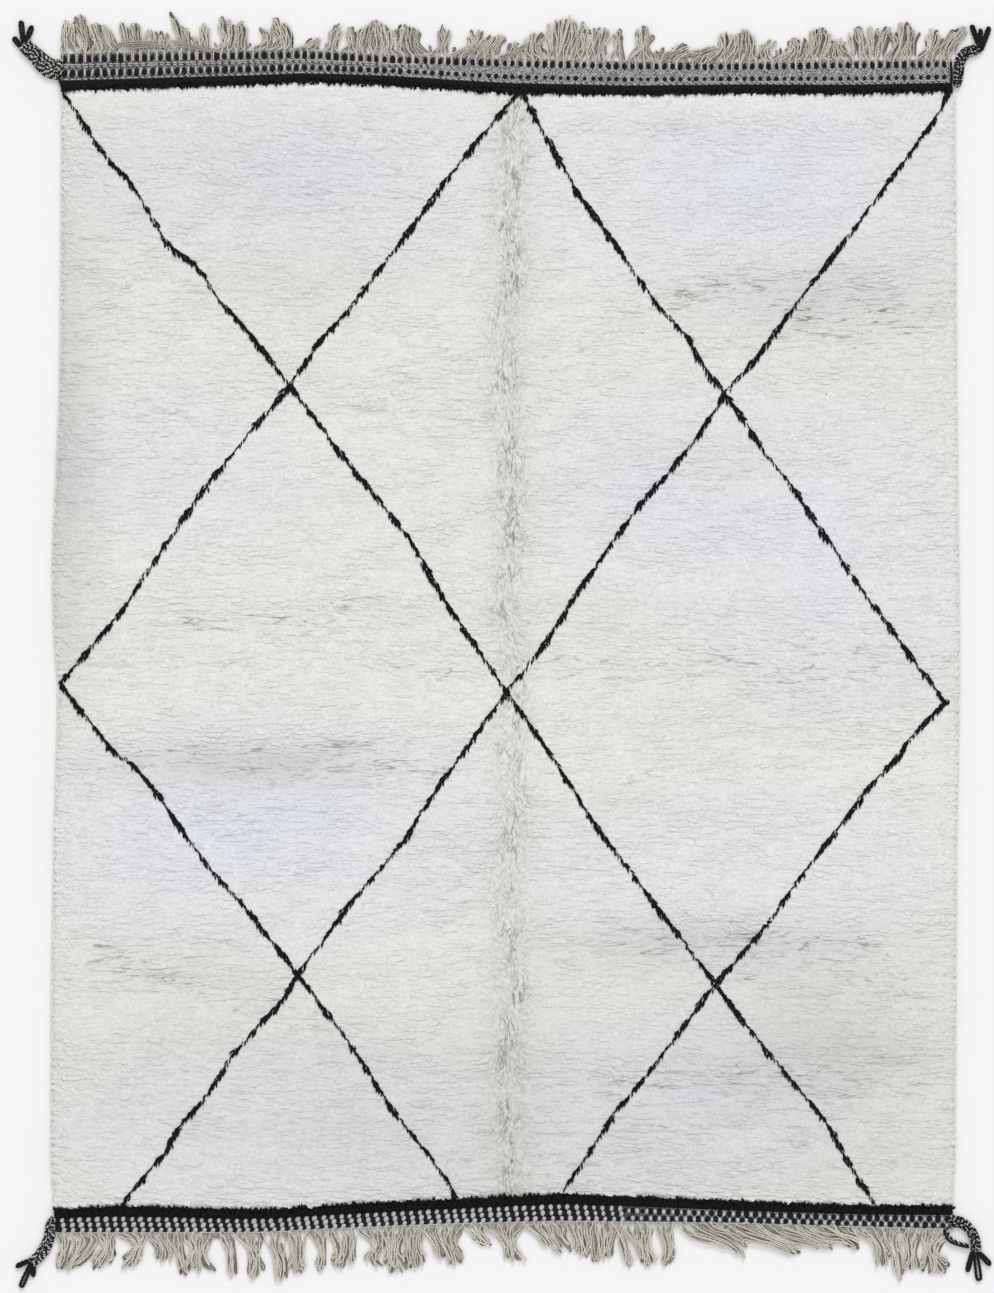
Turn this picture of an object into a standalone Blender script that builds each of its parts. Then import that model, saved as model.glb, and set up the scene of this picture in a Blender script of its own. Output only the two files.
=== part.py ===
import math
import random
from collections import namedtuple

import bmesh
import bpy
import numpy as np

# A hand-knotted wool rug of the beni ourain kind, lying flat on the floor. The field is one
# shaggy slab. At each end come a black pile band, a twined heading, the warp fringe and two
# corner plaits, and a wrapped cord runs down each side. Sizes are in millimetres. +Y runs
# along the rug, +Z is up, and the origin is on the floor under the middle of the whole rug.
MM = 0.001
GAP = 0.3  # left between neighbouring pieces

# Pile field and black bands
PILE_HEIGHT = 17.0  # ground weave and pile together
PILE_LUMP = 1.9  # most that a tuft group stands up or lies down
RIM_HEIGHT = 13.0  # where two locks part at the side
LOCK_HEIGHT = 10.8  # tip of a lock that hangs over the side cord
LOCK_REACH = 4.0
END_RIM_HEIGHT = 15.0  # where the field meets a black band
JAG = 1.6  # how far knots step in and out along a band
SHOULDER = 34.0  # width over which the pile rolls down to its rim
CELLS_ACROSS = 30
CELLS_ALONG = 42
RIM_STEPS = {"end": 2, "side": 4}  # rim points for each cell
BAND_HEIGHT = 15.5
BAND_OUTER_HEIGHT = 13.5

# Side cords
CORD_WIDTH = 11.0
CORD_WRAP = 0.5  # swell of each wrapped group
CORD_RINGS = 48
PILE_SETBACK = CORD_WIDTH + 3.0  # foot of the pile, in from the cord's outer face
CORD_PROFILE = ((-0.30, 0.0), (0.30, 0.0), (0.5, 0.5), (0.0, 1.0), (-0.5, 0.5))

# Fringe
STRIP_WIDTH = 6.0
STRIP_HEIGHT = 4.2
STRANDS_PER_CELL = 3
STEM_WIDTH = 5.0
STEM_HEIGHT = 4.6
HEAD_WIDTH = 22.0  # most that the looped end of a strand widens to
HEAD_HEIGHT = 7.0
HEAD_FILL = 0.76  # of a strand's share of the width of its lock
TIP_TAPER = 0.7
TOP_TAPER = 0.7  # of a strand's width, at its top

# Corner plaits
PLAIT_HEIGHT = 14.0
PLAIT_EDGE_HEIGHT = 8.0
PLAIT_STEPS = 3  # rings between two rows
PLAIT_SWELL = 0.11  # in and out along the edges
PLAIT_RIDGE = 2.2  # up and down of the crossing yarns
LOOP_HEIGHT = 9.0

# Outer faces of the side cords
SideRow = namedtuple("SideRow", "y left right")
SIDE_ROWS = (
    SideRow(-1420, -1124, 1128),
    SideRow(-1250, -1131, 1136),
    SideRow(-875, -1131, 1137),
    SideRow(-500, -1124, 1139),
    SideRow(-100, -1114, 1146),
    SideRow(75, -1126, 1146),
    SideRow(225, -1129, 1144),
    SideRow(625, -1111, 1139),
    SideRow(1000, -1106, 1137),
    SideRow(1420, -1104, 1134),
)

# Outer edges of the ivory pile, the black band and the heading, which wander along each end
EndRow = namedtuple("EndRow", "x pile band heading")
END_ROWS = {
    "top": (
        EndRow(-1110, 1396, 1421, 1489),
        EndRow(-650, 1411, 1434, 1498),
        EndRow(-490, 1419, 1440, 1499),
        EndRow(-285, 1411, 1434, 1486),
        EndRow(-5, 1391, 1416, 1479),
        EndRow(315, 1386, 1409, 1471),
        EndRow(595, 1391, 1412, 1469),
        EndRow(870, 1389, 1411, 1474),
        EndRow(1125, 1396, 1416, 1476),
    ),
    "bottom": (
        EndRow(-1125, -1400, -1421, -1460),
        EndRow(-950, -1391, -1416, -1460),
        EndRow(-605, -1401, -1424, -1459),
        EndRow(-365, -1386, -1409, -1447),
        EndRow(-120, -1374, -1397, -1437),
        EndRow(150, -1361, -1385, -1431),
        EndRow(595, -1379, -1403, -1436),
        EndRow(870, -1389, -1412, -1444),
        EndRow(1120, -1392, -1414, -1451),
    ),
}
OUTWARD = {"top": 1, "bottom": -1}

# Left and right ends of the black bands and headings, which pass the pile and cover its cords
END_SPANS = {"top": (-1104.0, 1125.0), "bottom": (-1121.0, 1126.0)}

# Cross-sections of the headings: share of the width, height. Each rise is a twined row.
HEADING_PROFILES = {
    "top": ((0, 0), (0, 5), (0.24, 8.5), (0.5, 5.2), (0.78, 8.5), (1, 4.5), (1, 0)),
    "bottom": (
        (0, 0),
        (0, 5.5),
        (0.18, 8.5),
        (0.35, 5.8),
        (0.52, 8.5),
        (0.69, 5.8),
        (0.85, 8.2),
        (1, 4.5),
        (1, 0),
    ),
}

# Soft troughs that cross the pile from left to right, and the parting down the middle
Crease = namedtuple("Crease", "left right y_left y_right depth width")
CREASES = (
    Crease(330, 1125, 905, 870, 3.2, 42),
    Crease(-900, -180, 85, 105, 2.6, 40),
    Crease(-560, 1125, -55, -15, 2.2, 46),
    Crease(-1050, -20, -235, -285, 3.4, 40),
    Crease(60, 1125, -715, -735, 3.0, 44),
    Crease(-1110, -420, -760, -905, 2.4, 42),
    Crease(0, 1125, -1075, -1050, 1.8, 46),
)
PARTING_X = 18.0
PARTING_DEPTH = 2.6
PARTING_WIDTH = 58.0

# Locks of the fringe from left to right. Neck, body and tip are each an x, a distance from the
# heading and a width.
Lock = namedtuple("Lock", "strands neck body tip")
LOCKS = {
    "top": (
        Lock(2, (-1086, 22, 35), (-1086, 55, 34), (-1086, 85, 32)),
        Lock(1, (-1040, 20, 16), (-1052, 64, 26), (-1060, 102, 26)),
        Lock(3, (-991, 18, 50), (-1006, 48, 52), (-1018, 80, 46)),
        Lock(1, (-941, 16, 14), (-946, 50, 16), (-949, 85, 16)),
        Lock(1, (-914, 16, 24), (-916, 45, 26), (-919, 78, 26)),
        Lock(2, (-876, 15, 38), (-876, 38, 38), (-876, 60, 36)),
        Lock(1, (-844, 14, 22), (-844, 34, 22), (-844, 52, 20)),
        Lock(1, (-806, 29, 12), (-816, 66, 14), (-829, 101, 12)),
        Lock(1, (-788, 24, 18), (-794, 47, 18), (-797, 64, 16)),
        Lock(1, (-763, 14, 24), (-768, 26, 22), (-772, 38, 18)),
        Lock(1, (-741, 18, 18), (-744, 46, 22), (-744, 73, 20)),
        Lock(2, (-684, 21, 14), (-691, 52, 34), (-694, 91, 26)),
        Lock(2, (-656, 16, 24), (-656, 46, 38), (-656, 78, 28)),
        Lock(2, (-586, 24, 14), (-593, 44, 26), (-606, 60, 26)),
        Lock(2, (-539, 15, 24), (-554, 50, 40), (-569, 85, 24)),
        Lock(3, (-482, 12, 34), (-474, 22, 30), (-465, 35, 26)),
        Lock(2, (-424, 16, 14), (-416, 42, 28), (-408, 72, 26)),
        Lock(2, (-374, 26, 14), (-383, 46, 24), (-380, 70, 22)),
        Lock(3, (-321, 26, 74), (-321, 54, 62), (-316, 86, 30)),
        Lock(4, (-246, 28, 66), (-244, 53, 68), (-244, 78, 58)),
        Lock(2, (-149, 24, 18), (-146, 54, 28), (-146, 82, 28)),
        Lock(3, (-71, 29, 24), (-61, 52, 46), (-59, 75, 44)),
        Lock(2, (-21, 32, 30), (-11, 44, 40), (-4, 62, 26)),
        Lock(3, (30, 15, 36), (34, 28, 34), (37, 42, 28)),
        Lock(2, (73, 26, 28), (84, 52, 44), (89, 74, 40)),
        Lock(3, (154, 34, 62), (159, 69, 76), (161, 112, 60)),
        Lock(1, (204, 35, 14), (209, 60, 20), (209, 85, 18)),
        Lock(2, (239, 39, 34), (244, 61, 44), (244, 86, 40)),
        Lock(2, (291, 37, 12), (286, 60, 24), (286, 85, 20)),
        Lock(3, (351, 28, 14), (351, 58, 42), (351, 93, 24)),
        Lock(2, (429, 18, 22), (449, 31, 28), (466, 44, 26)),
        Lock(3, (504, 19, 20), (524, 29, 18), (541, 39, 14)),
        Lock(2, (559, 34, 30), (559, 54, 34), (559, 79, 26)),
        Lock(3, (606, 30, 46), (606, 55, 44), (606, 85, 28)),
        Lock(2, (654, 29, 18), (666, 44, 30), (671, 59, 26)),
        Lock(3, (741, 27, 44), (741, 44, 52), (741, 62, 44)),
        Lock(2, (794, 36, 38), (794, 61, 44), (796, 86, 28)),
        Lock(3, (834, 31, 36), (836, 43, 44), (836, 58, 40)),
        Lock(3, (919, 32, 66), (919, 57, 84), (921, 87, 74)),
        Lock(3, (1004, 31, 40), (1006, 61, 66), (1006, 98, 56)),
        Lock(2, (1074, 28, 24), (1079, 53, 40), (1081, 78, 36)),
        Lock(2, (1111, 28, 38), (1131, 55, 38), (1151, 85, 34)),
    ),
    "bottom": (
        Lock(4, (-1056, 24, 70), (-1076, 59, 62), (-1099, 94, 34)),
        Lock(2, (-986, 27, 18), (-996, 59, 44), (-1011, 92, 40)),
        Lock(3, (-909, 24, 20), (-926, 62, 40), (-941, 94, 40)),
        Lock(2, (-849, 32, 32), (-846, 57, 34), (-849, 77, 30)),
        Lock(2, (-811, 42, 18), (-801, 77, 22), (-796, 112, 22)),
        Lock(3, (-759, 37, 30), (-761, 67, 44), (-756, 99, 66)),
        Lock(2, (-679, 42, 16), (-679, 84, 22), (-679, 121, 18)),
        Lock(3, (-626, 37, 18), (-616, 77, 32), (-624, 122, 20)),
        Lock(2, (-566, 40, 24), (-552, 80, 26), (-555, 128, 20)),
        Lock(2, (-511, 38, 24), (-517, 84, 34), (-505, 110, 42)),
        Lock(2, (-451, 40, 14), (-454, 80, 24), (-454, 112, 22)),
        Lock(3, (-396, 37, 44), (-401, 67, 50), (-410, 102, 46)),
        Lock(3, (-311, 42, 22), (-329, 72, 26), (-311, 104, 36)),
        Lock(2, (-276, 48, 24), (-271, 86, 40), (-266, 121, 46)),
        Lock(2, (-224, 45, 30), (-219, 80, 42), (-214, 110, 40)),
        Lock(4, (-146, 38, 50), (-131, 71, 60), (-124, 106, 58)),
        Lock(2, (-66, 20, 22), (-54, 36, 34), (-41, 56, 34)),
        Lock(4, (9, 32, 40), (21, 62, 24), (26, 100, 54)),
        Lock(4, (122, 35, 56), (141, 60, 60), (146, 80, 58)),
        Lock(2, (189, 35, 24), (194, 60, 24), (195, 85, 22)),
        Lock(3, (243, 40, 56), (239, 72, 54), (237, 102, 48)),
        Lock(1, (299, 44, 14), (309, 79, 18), (319, 116, 20)),
        Lock(3, (349, 51, 30), (360, 78, 36), (368, 113, 42)),
        Lock(2, (411, 43, 18), (415, 71, 26), (405, 111, 24)),
        Lock(4, (524, 26, 36), (571, 43, 34), (609, 83, 30)),
        Lock(4, (654, 31, 32), (712, 50, 30), (757, 76, 28)),
        Lock(4, (752, 27, 30), (794, 43, 28), (829, 68, 26)),
        Lock(5, (838, 21, 28), (872, 35, 32), (897, 62, 30)),
        Lock(4, (935, 30, 32), (951, 66, 34), (947, 108, 32)),
        Lock(2, (976, 34, 16), (989, 78, 20), (994, 133, 26)),
        Lock(2, (1021, 44, 18), (1026, 79, 24), (1021, 111, 30)),
        Lock(3, (1069, 45, 22), (1081, 77, 52), (1089, 114, 78)),
    ),
}

# Each corner plait runs from the heading's corner outwards, and frays into three yarn loops.
# The ends are listed from the left of someone who looks along the plait.
PlaitRow = namedtuple("PlaitRow", "x y width")
LoopEnd = namedtuple("LoopEnd", "x y width")
Plait = namedtuple("Plait", "rows ends arm")
Arm = namedtuple("Arm", "ring x y width")  # a side branch, and where its free end lies
PLAITS = {
    "corner_plait_nw": Plait(
        (
            PlaitRow(-1110, 1450, 58),
            PlaitRow(-1127, 1452, 54),
            PlaitRow(-1148, 1466, 48),
            PlaitRow(-1167, 1485, 42),
            PlaitRow(-1186, 1503, 40),
            PlaitRow(-1198, 1515, 36),
        ),
        (LoopEnd(-1222, 1530, 12), LoopEnd(-1204, 1570, 12), LoopEnd(-1177, 1558, 12)),
        None,
    ),
    "corner_plait_ne": Plait(
        (
            PlaitRow(1141, 1418, 24),
            PlaitRow(1142, 1446, 27),
            PlaitRow(1144, 1471, 28),
            PlaitRow(1157, 1491, 29),
            PlaitRow(1176, 1498, 29),
            PlaitRow(1193, 1505, 28),
        ),
        (LoopEnd(1174, 1560, 11), LoopEnd(1196, 1550, 10), LoopEnd(1217, 1555, 11)),
        None,
    ),
    "corner_plait_sw": Plait(
        (
            PlaitRow(-1137, -1424, 24),
            PlaitRow(-1137, -1450, 28),
            PlaitRow(-1138, -1475, 30),
            PlaitRow(-1147, -1500, 32),
            PlaitRow(-1162, -1520, 30),
            PlaitRow(-1178, -1534, 28),
        ),
        (LoopEnd(-1174, -1567, 11), LoopEnd(-1204, -1593, 13), LoopEnd(-1215, -1543, 11)),
        None,
    ),
    "corner_plait_se": Plait(
        (
            PlaitRow(1131, -1432, 32),
            PlaitRow(1145, -1433, 31),
            PlaitRow(1162, -1443, 28),
            PlaitRow(1176, -1462, 28),
            PlaitRow(1184, -1486, 28),
            PlaitRow(1183, -1507, 28),
        ),
        (LoopEnd(1219, -1538, 12), LoopEnd(1192, -1576, 15), LoopEnd(1163, -1554, 11)),
        Arm(13, 1117, -1489, 10),
    ),
}

Look = namedtuple("Look", "colour roughness")
LOOKS = {
    "ivory_pile": Look((0.70, 0.69, 0.65), 0.95),
    "black_pile": Look((0.012, 0.013, 0.016), 0.9),
    "twined_heading": Look((0.16, 0.16, 0.16), 0.85),
    "warp_fringe": Look((0.47, 0.43, 0.36), 0.85),
    "side_cord": Look((0.62, 0.60, 0.55), 0.9),
    "plaited_yarn": Look((0.07, 0.07, 0.075), 0.85),
}


def clear_scene():
    for old in list(bpy.data.objects):
        bpy.data.objects.remove(old, do_unlink=True)


def material(name):
    look = LOOKS[name]
    found = bpy.data.materials.get(name) or bpy.data.materials.new(name)
    found.use_nodes = True
    shader = found.node_tree.nodes["Principled BSDF"]
    shader.inputs["Base Color"].default_value = (*look.colour, 1.0)
    shader.inputs["Roughness"].default_value = look.roughness
    shader.inputs["Metallic"].default_value = 0.0
    return found


def add_object(name, mesh, material_name):
    bmesh.ops.recalc_face_normals(mesh, faces=mesh.faces)
    data = bpy.data.meshes.new(name)
    mesh.to_mesh(data)
    mesh.free()
    data.shade_smooth()
    data.set_sharp_from_angle(angle=math.radians(40))
    data.materials.append(material(material_name))
    placed = bpy.data.objects.new(name, data)
    bpy.context.scene.collection.objects.link(placed)


def vertex(mesh, x, y, z):
    return mesh.verts.new((x * MM, y * MM, z * MM))


def ring_faces(mesh, ring, following, skip=()):
    # A wall between two rings of vertices; the sides in skip stay open
    count = len(ring)
    for side in range(count):
        if side not in skip:
            after = (side + 1) % count
            mesh.faces.new((ring[side], ring[after], following[after], following[side]))


def loft(mesh, rings):
    # One closed solid through rings of points, with a flat face at each end
    made = [[vertex(mesh, *point) for point in ring] for ring in rings]
    for ring, following in zip(made, made[1:]):
        ring_faces(mesh, ring, following)
    mesh.faces.new(made[0])
    mesh.faces.new(made[-1])


def read(rows, along, name, at):
    return float(np.interp(at, [getattr(r, along) for r in rows], [getattr(r, name) for r in rows]))


def side_x(side, y, inset):
    # A line that runs this far inside the outer face of a side cord
    outer = read(SIDE_ROWS, "y", side, y)
    return outer + inset if side == "left" else outer - inset


def cell_lines(end):
    # Where the cells' lines meet one end of the field
    corner_y = END_ROWS[end][0].pile
    left = side_x("left", corner_y, PILE_SETBACK)
    right = side_x("right", corner_y, PILE_SETBACK)
    return np.linspace(left, right, CELLS_ACROSS + 1)


def end_y(end, name, x):
    # The named edge, straight between two cell lines so that neighbours share it
    lines = cell_lines(end)
    return float(np.interp(x, lines, [read(END_ROWS[end], "x", name, line) for line in lines]))


def knot_columns(end):
    # Places of the knot groups along an end, each with its step in or out
    lines = cell_lines(end)
    count = CELLS_ACROSS * RIM_STEPS["end"]
    places = np.linspace(lines[0], lines[-1], count + 1)
    return [(float(x), JAG if i % 2 else -JAG) for i, x in enumerate(places)]


def bell(distance, width):
    return math.exp(-((distance / width) ** 2))


def pile_top(x, y):
    # Height of the combed pile, with its parting and creases
    height = PILE_HEIGHT - PARTING_DEPTH * bell(x - PARTING_X, PARTING_WIDTH)
    for crease in CREASES:
        share = (x - crease.left) / (crease.right - crease.left)
        if 0 < share < 1:
            middle = crease.y_left + share * (crease.y_right - crease.y_left)
            fade = math.sin(math.pi * share) ** 0.4
            height -= crease.depth * fade * bell(y - middle, crease.width)
    return height


def end_rim(end):
    # Rim and foot points along one end, from left to right
    points = []
    for x, step in knot_columns(end):
        y = end_y(end, "pile", x) + OUTWARD[end] * step
        points.append(((x, y, END_RIM_HEIGHT), (x, y, 0.0)))
    return points


def side_rim(side, low, high):
    # Rim and foot points up one side, between its corners; every other point is a lock's tip
    points = []
    count = CELLS_ALONG * RIM_STEPS["side"]
    outward = -1 if side == "left" else 1
    for i in range(1, count):
        y = low + (high - low) * i / count
        x = side_x(side, y, PILE_SETBACK)
        if i % 2:
            points.append(((x + outward * LOCK_REACH, y, LOCK_HEIGHT), (x, y, 0.0)))
        else:
            points.append(((x, y, RIM_HEIGHT), (x, y, 0.0)))
    return points


def field_point(i, j, lump):
    # A point of the combed top, inside the rim, on the i-th line across and j-th along
    y_low = end_y("bottom", "pile", cell_lines("bottom")[i]) + SHOULDER
    y_high = end_y("top", "pile", cell_lines("top")[i]) - SHOULDER
    y = y_low + (y_high - y_low) * j / CELLS_ALONG
    left = side_x("left", y, PILE_SETBACK + SHOULDER)
    right = side_x("right", y, PILE_SETBACK + SHOULDER)
    x = left + (right - left) * i / CELLS_ACROSS
    return x, y, pile_top(x, y) + lump


def make_pile_field():
    mesh = bmesh.new()
    chance = random.Random(11)
    grid = []
    for j in range(CELLS_ALONG + 1):
        row = []
        for i in range(CELLS_ACROSS + 1):
            lump = chance.uniform(-PILE_LUMP, PILE_LUMP)
            row.append(vertex(mesh, *field_point(i, j, lump)))
        grid.append(row)
    for low, high in zip(grid, grid[1:]):
        for i in range(CELLS_ACROSS):
            mesh.faces.new((low[i], low[i + 1], high[i + 1], high[i]))

    bottom, top = end_rim("bottom"), end_rim("top")
    right = side_rim("right", bottom[-1][0][1], top[-1][0][1])
    left = side_rim("left", bottom[0][0][1], top[0][0][1])
    around = bottom + right + top[::-1] + left[::-1]
    rim = [vertex(mesh, *over) for over, _ in around]
    foot = [vertex(mesh, *under) for _, under in around]
    ring_faces(mesh, rim, foot)
    mesh.faces.new(foot)

    inner = grid[0] + [row[-1] for row in grid[1:]]
    inner += grid[-1][-2::-1] + [row[0] for row in grid[-2:0:-1]]
    steps = [RIM_STEPS["end"]] * CELLS_ACROSS + [RIM_STEPS["side"]] * CELLS_ALONG
    place = 0
    for i, step in enumerate(steps * 2):
        outer = [rim[(place + k) % len(rim)] for k in range(step + 1)]
        mesh.faces.new([*outer, inner[(i + 1) % len(inner)], inner[i]])
        place += step
    bmesh.ops.triangulate(mesh, faces=[f for f in mesh.faces if len(f.verts) > 4])
    add_object("pile_field", mesh, "ivory_pile")


def make_black_band(end):
    # Rows of black knots; its inner edge interlocks with the field's
    chance = random.Random(f"band {end}")
    sign = OUTWARD[end]
    columns = knot_columns(end)
    left, right = END_SPANS[end]
    rings = []
    for x, step in [(left, columns[0][1]), *columns, (right, columns[-1][1])]:
        inner = end_y(end, "pile", x) + sign * (step + GAP)
        outer = end_y(end, "band", x)
        lump = chance.uniform(-PILE_LUMP, PILE_LUMP)
        rings.append(
            (
                (x, inner, 0),
                (x, inner, BAND_HEIGHT + lump),
                (x, outer, BAND_OUTER_HEIGHT + lump),
                (x, outer, 0),
            )
        )
    mesh = bmesh.new()
    loft(mesh, rings)
    add_object(f"black_band_{end}", mesh, "black_pile")


def make_heading(end):
    rings = []
    profile = HEADING_PROFILES[end]
    left, right = END_SPANS[end]
    for x in (left, *cell_lines(end), right):
        inner = end_y(end, "band", x) + OUTWARD[end] * GAP
        width = end_y(end, "heading", x) - inner
        rings.append([(x, inner + share * width, height) for share, height in profile])
    mesh = bmesh.new()
    loft(mesh, rings)
    add_object(f"heading_{end}", mesh, "twined_heading")


def make_side_cord(side):
    # Yarn wrapped over the outermost warps, flat where it lies on the floor
    corner = 0 if side == "left" else -1
    low = end_y("bottom", "pile", cell_lines("bottom")[corner]) + JAG + GAP
    high = end_y("top", "pile", cell_lines("top")[corner]) - JAG - GAP
    rings = []
    for i in range(CORD_RINGS):
        y = low + (high - low) * i / (CORD_RINGS - 1)
        middle = side_x(side, y, CORD_WIDTH / 2)
        size = CORD_WIDTH - CORD_WRAP * (i % 2)
        rings.append([(middle + size * across, y, size * up) for across, up in CORD_PROFILE])
    mesh = bmesh.new()
    loft(mesh, rings)
    add_object(f"side_cord_{side}", mesh, "side_cord")


def lock_ways(end, root_x, lock):
    # Middle of the lock at each of its places, and the way across it there. A lock that lies
    # down is as wide across its own path, an upright one along the heading.
    sign = OUTWARD[end]
    middles = [np.array((root_x, end_y(end, "heading", root_x) + sign * (GAP + STRIP_WIDTH)))]
    for x, out, _ in (lock.neck, lock.body, lock.tip):
        middles.append(np.array((x, end_y(end, "heading", x) + sign * (GAP + out))))
    lying = abs(middles[-1] - middles[0])
    ways = []
    for i in (1, 2, 3):
        ahead = middles[min(i + 1, 3)] - middles[i - 1]
        normal = np.array((-ahead[1], ahead[0])) / np.linalg.norm(ahead)
        upright = lying[0] < lying[1]
        ways.append(np.array((1.0, 0.0)) if upright else normal * math.copysign(1, normal[0]))
    return middles[1:], ways


def strand_rings(end, roots, lock):
    # For each strand of a lock, its rings at the neck, the body and the tip
    middles, ways = lock_ways(end, sum(roots) / len(roots), lock)
    count = len(roots)
    looks = ((STEM_HEIGHT, 1.0), (HEAD_HEIGHT, 1.0), (STEM_HEIGHT, TIP_TAPER))
    for k in range(count):
        part = (2 * k + 1) / count - 1
        rings = []
        places = zip((lock.neck, lock.body, lock.tip), middles, ways, looks)
        for (_, _, spread), middle, way, (height, taper) in places:
            width = min(HEAD_WIDTH, HEAD_FILL * spread / count) * taper
            x, y = middle + way * part * spread / 2
            low, high = way * width / 2, way * width / 2 * TOP_TAPER
            rings.append((
                (x - low[0], y - low[1], 0), (x + low[0], y + low[1], 0),
                (x + high[0], y + high[1], height), (x - high[0], y - high[1], height),
            ))
        yield rings


def make_fringe(end):
    # A narrow strip along the heading, with a four-sided strand out of it at each root
    lines = cell_lines(end)
    pitch = (lines[-1] - lines[0]) / (CELLS_ACROSS * STRANDS_PER_CELL)
    roots = [lines[0] + (k + 0.5) * pitch for k in range(CELLS_ACROSS * STRANDS_PER_CELL)]
    sign = OUTWARD[end]
    mesh = bmesh.new()

    def post(x, out):
        y = end_y(end, "heading", x) + sign * (GAP + out)
        return vertex(mesh, x, y, 0), vertex(mesh, x, y, STRIP_HEIGHT)

    back = [post(x, 0) for x in lines]
    front = [post(x, STRIP_WIDTH) for x in lines]
    root_quads = []
    for cell in range(CELLS_ACROSS):
        edge = [front[cell]]
        for x in roots[cell * STRANDS_PER_CELL : (cell + 1) * STRANDS_PER_CELL]:
            near = post(x - STEM_WIDTH / 2, STRIP_WIDTH)
            far = post(x + STEM_WIDTH / 2, STRIP_WIDTH)
            edge += [near, far]
            root_quads.append([near[0], far[0], far[1], near[1]])
        edge.append(front[cell + 1])
        for level in (0, 1):
            outline = [back[cell][level], back[cell + 1][level]]
            mesh.faces.new(outline + [posts[level] for posts in reversed(edge)])
        ends = back[cell], back[cell + 1]
        mesh.faces.new((ends[0][0], ends[1][0], ends[1][1], ends[0][1]))
        for left, right in zip(edge[0::2], edge[1::2]):
            mesh.faces.new((left[0], right[0], right[1], left[1]))
    for k in (0, -1):
        mesh.faces.new((back[k][0], front[k][0], front[k][1], back[k][1]))

    taken = 0
    for lock in LOCKS[end]:
        held = slice(taken, taken + lock.strands)
        for quad, rings in zip(root_quads[held], strand_rings(end, roots[held], lock)):
            for points in rings:
                ring = [vertex(mesh, *point) for point in points]
                ring_faces(mesh, quad, ring)
                quad = ring
            mesh.faces.new(quad)
        taken += lock.strands
    bmesh.ops.triangulate(mesh, faces=[f for f in mesh.faces if len(f.verts) > 4])
    add_object(f"fringe_{end}", mesh, "warp_fringe")


def smooth_rows(rows):
    # Points of a Catmull-Rom curve through the rows
    padded = [rows[0], *rows, rows[-1]]
    points = []
    for a, b, c, d in zip(padded, padded[1:], padded[2:], padded[3:]):
        p, q, r, s = (np.array(row, float) for row in (a, b, c, d))
        for step in range(PLAIT_STEPS):
            t = step / PLAIT_STEPS
            line = 2 * q + (r - p) * t
            bend = (2 * p - 5 * q + 4 * r - s) * t**2 + (3 * q - p - 3 * r + s) * t**3
            points.append(0.5 * (line + bend))
    return [*points, np.array(rows[-1], float)]


def plait_rings(rows):
    # Bottom row of four points and top row of four, square to the plait's path
    points = smooth_rows(rows)
    for i, (x, y, width) in enumerate(points):
        before, after = points[max(i - 1, 0)], points[min(i + 1, len(points) - 1)]
        ahead = (after - before)[:2]
        left = np.array((-ahead[1], ahead[0])) / np.linalg.norm(ahead)
        swell = PLAIT_SWELL * (1 if i % 2 else -1)
        bottom, top = [], []
        for k, share in enumerate((1, 1 / 3, -1 / 3, -1)):
            wide = width / 2 * (1 + swell * (1 if k < 2 else -1))
            px, py = np.array((x, y)) + left * share * wide
            ridge = PLAIT_RIDGE * (1 if (i + k) % 2 else -1)
            height = PLAIT_HEIGHT + ridge if k in (1, 2) else PLAIT_EDGE_HEIGHT
            bottom.append((px, py, 0))
            top.append((px, py, height - PLAIT_RIDGE))
        yield bottom + top[::-1]


def branch(mesh, quad, tip, height):
    # A yarn end grown out of an open four-sided place, narrower at its middle and tip
    start = np.mean([corner.co for corner in quad[:2]], axis=0) / MM
    ahead = np.array((tip.x - start[0], tip.y - start[1]))
    left = np.array((-ahead[1], ahead[0])) / np.linalg.norm(ahead)
    for share, size in ((0.45, 1.0), (0.9, 1.0), (1.0, 0.6)):
        middle = start[:2] + ahead * share
        near = middle + left * tip.width * size / 2
        far = middle - left * tip.width * size / 2
        top = height * size
        ring = [vertex(mesh, *near, 0), vertex(mesh, *far, 0)]
        ring += [vertex(mesh, *far, top), vertex(mesh, *near, top)]
        ring_faces(mesh, quad, ring)
        quad = ring
    mesh.faces.new(quad)


def make_plait(name, plait):
    mesh = bmesh.new()
    rings = [[vertex(mesh, *point) for point in ring] for ring in plait_rings(plait.rows)]
    right_side = 3  # the wall between the last bottom point and the last top point
    for i, (ring, following) in enumerate(zip(rings, rings[1:])):
        open_side = plait.arm is not None and i == plait.arm.ring
        ring_faces(mesh, ring, following, skip=(right_side,) if open_side else ())
    mesh.faces.new(rings[0])
    last = rings[-1]
    for k, end in enumerate(plait.ends):
        branch(mesh, [last[k], last[k + 1], last[6 - k], last[7 - k]], end, LOOP_HEIGHT)
    if plait.arm:
        near, far = rings[plait.arm.ring], rings[plait.arm.ring + 1]
        quad = [far[3], near[3], near[4], far[4]]
        branch(mesh, quad, plait.arm, PLAIT_EDGE_HEIGHT)
    add_object(name, mesh, "plaited_yarn")


clear_scene()
make_pile_field()
for end_name in END_ROWS:
    make_black_band(end_name)
    make_heading(end_name)
    make_fringe(end_name)
for side_name in ("left", "right"):
    make_side_cord(side_name)
for plait_name, plait_rows in PLAITS.items():
    make_plait(plait_name, plait_rows)
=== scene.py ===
import math

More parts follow.
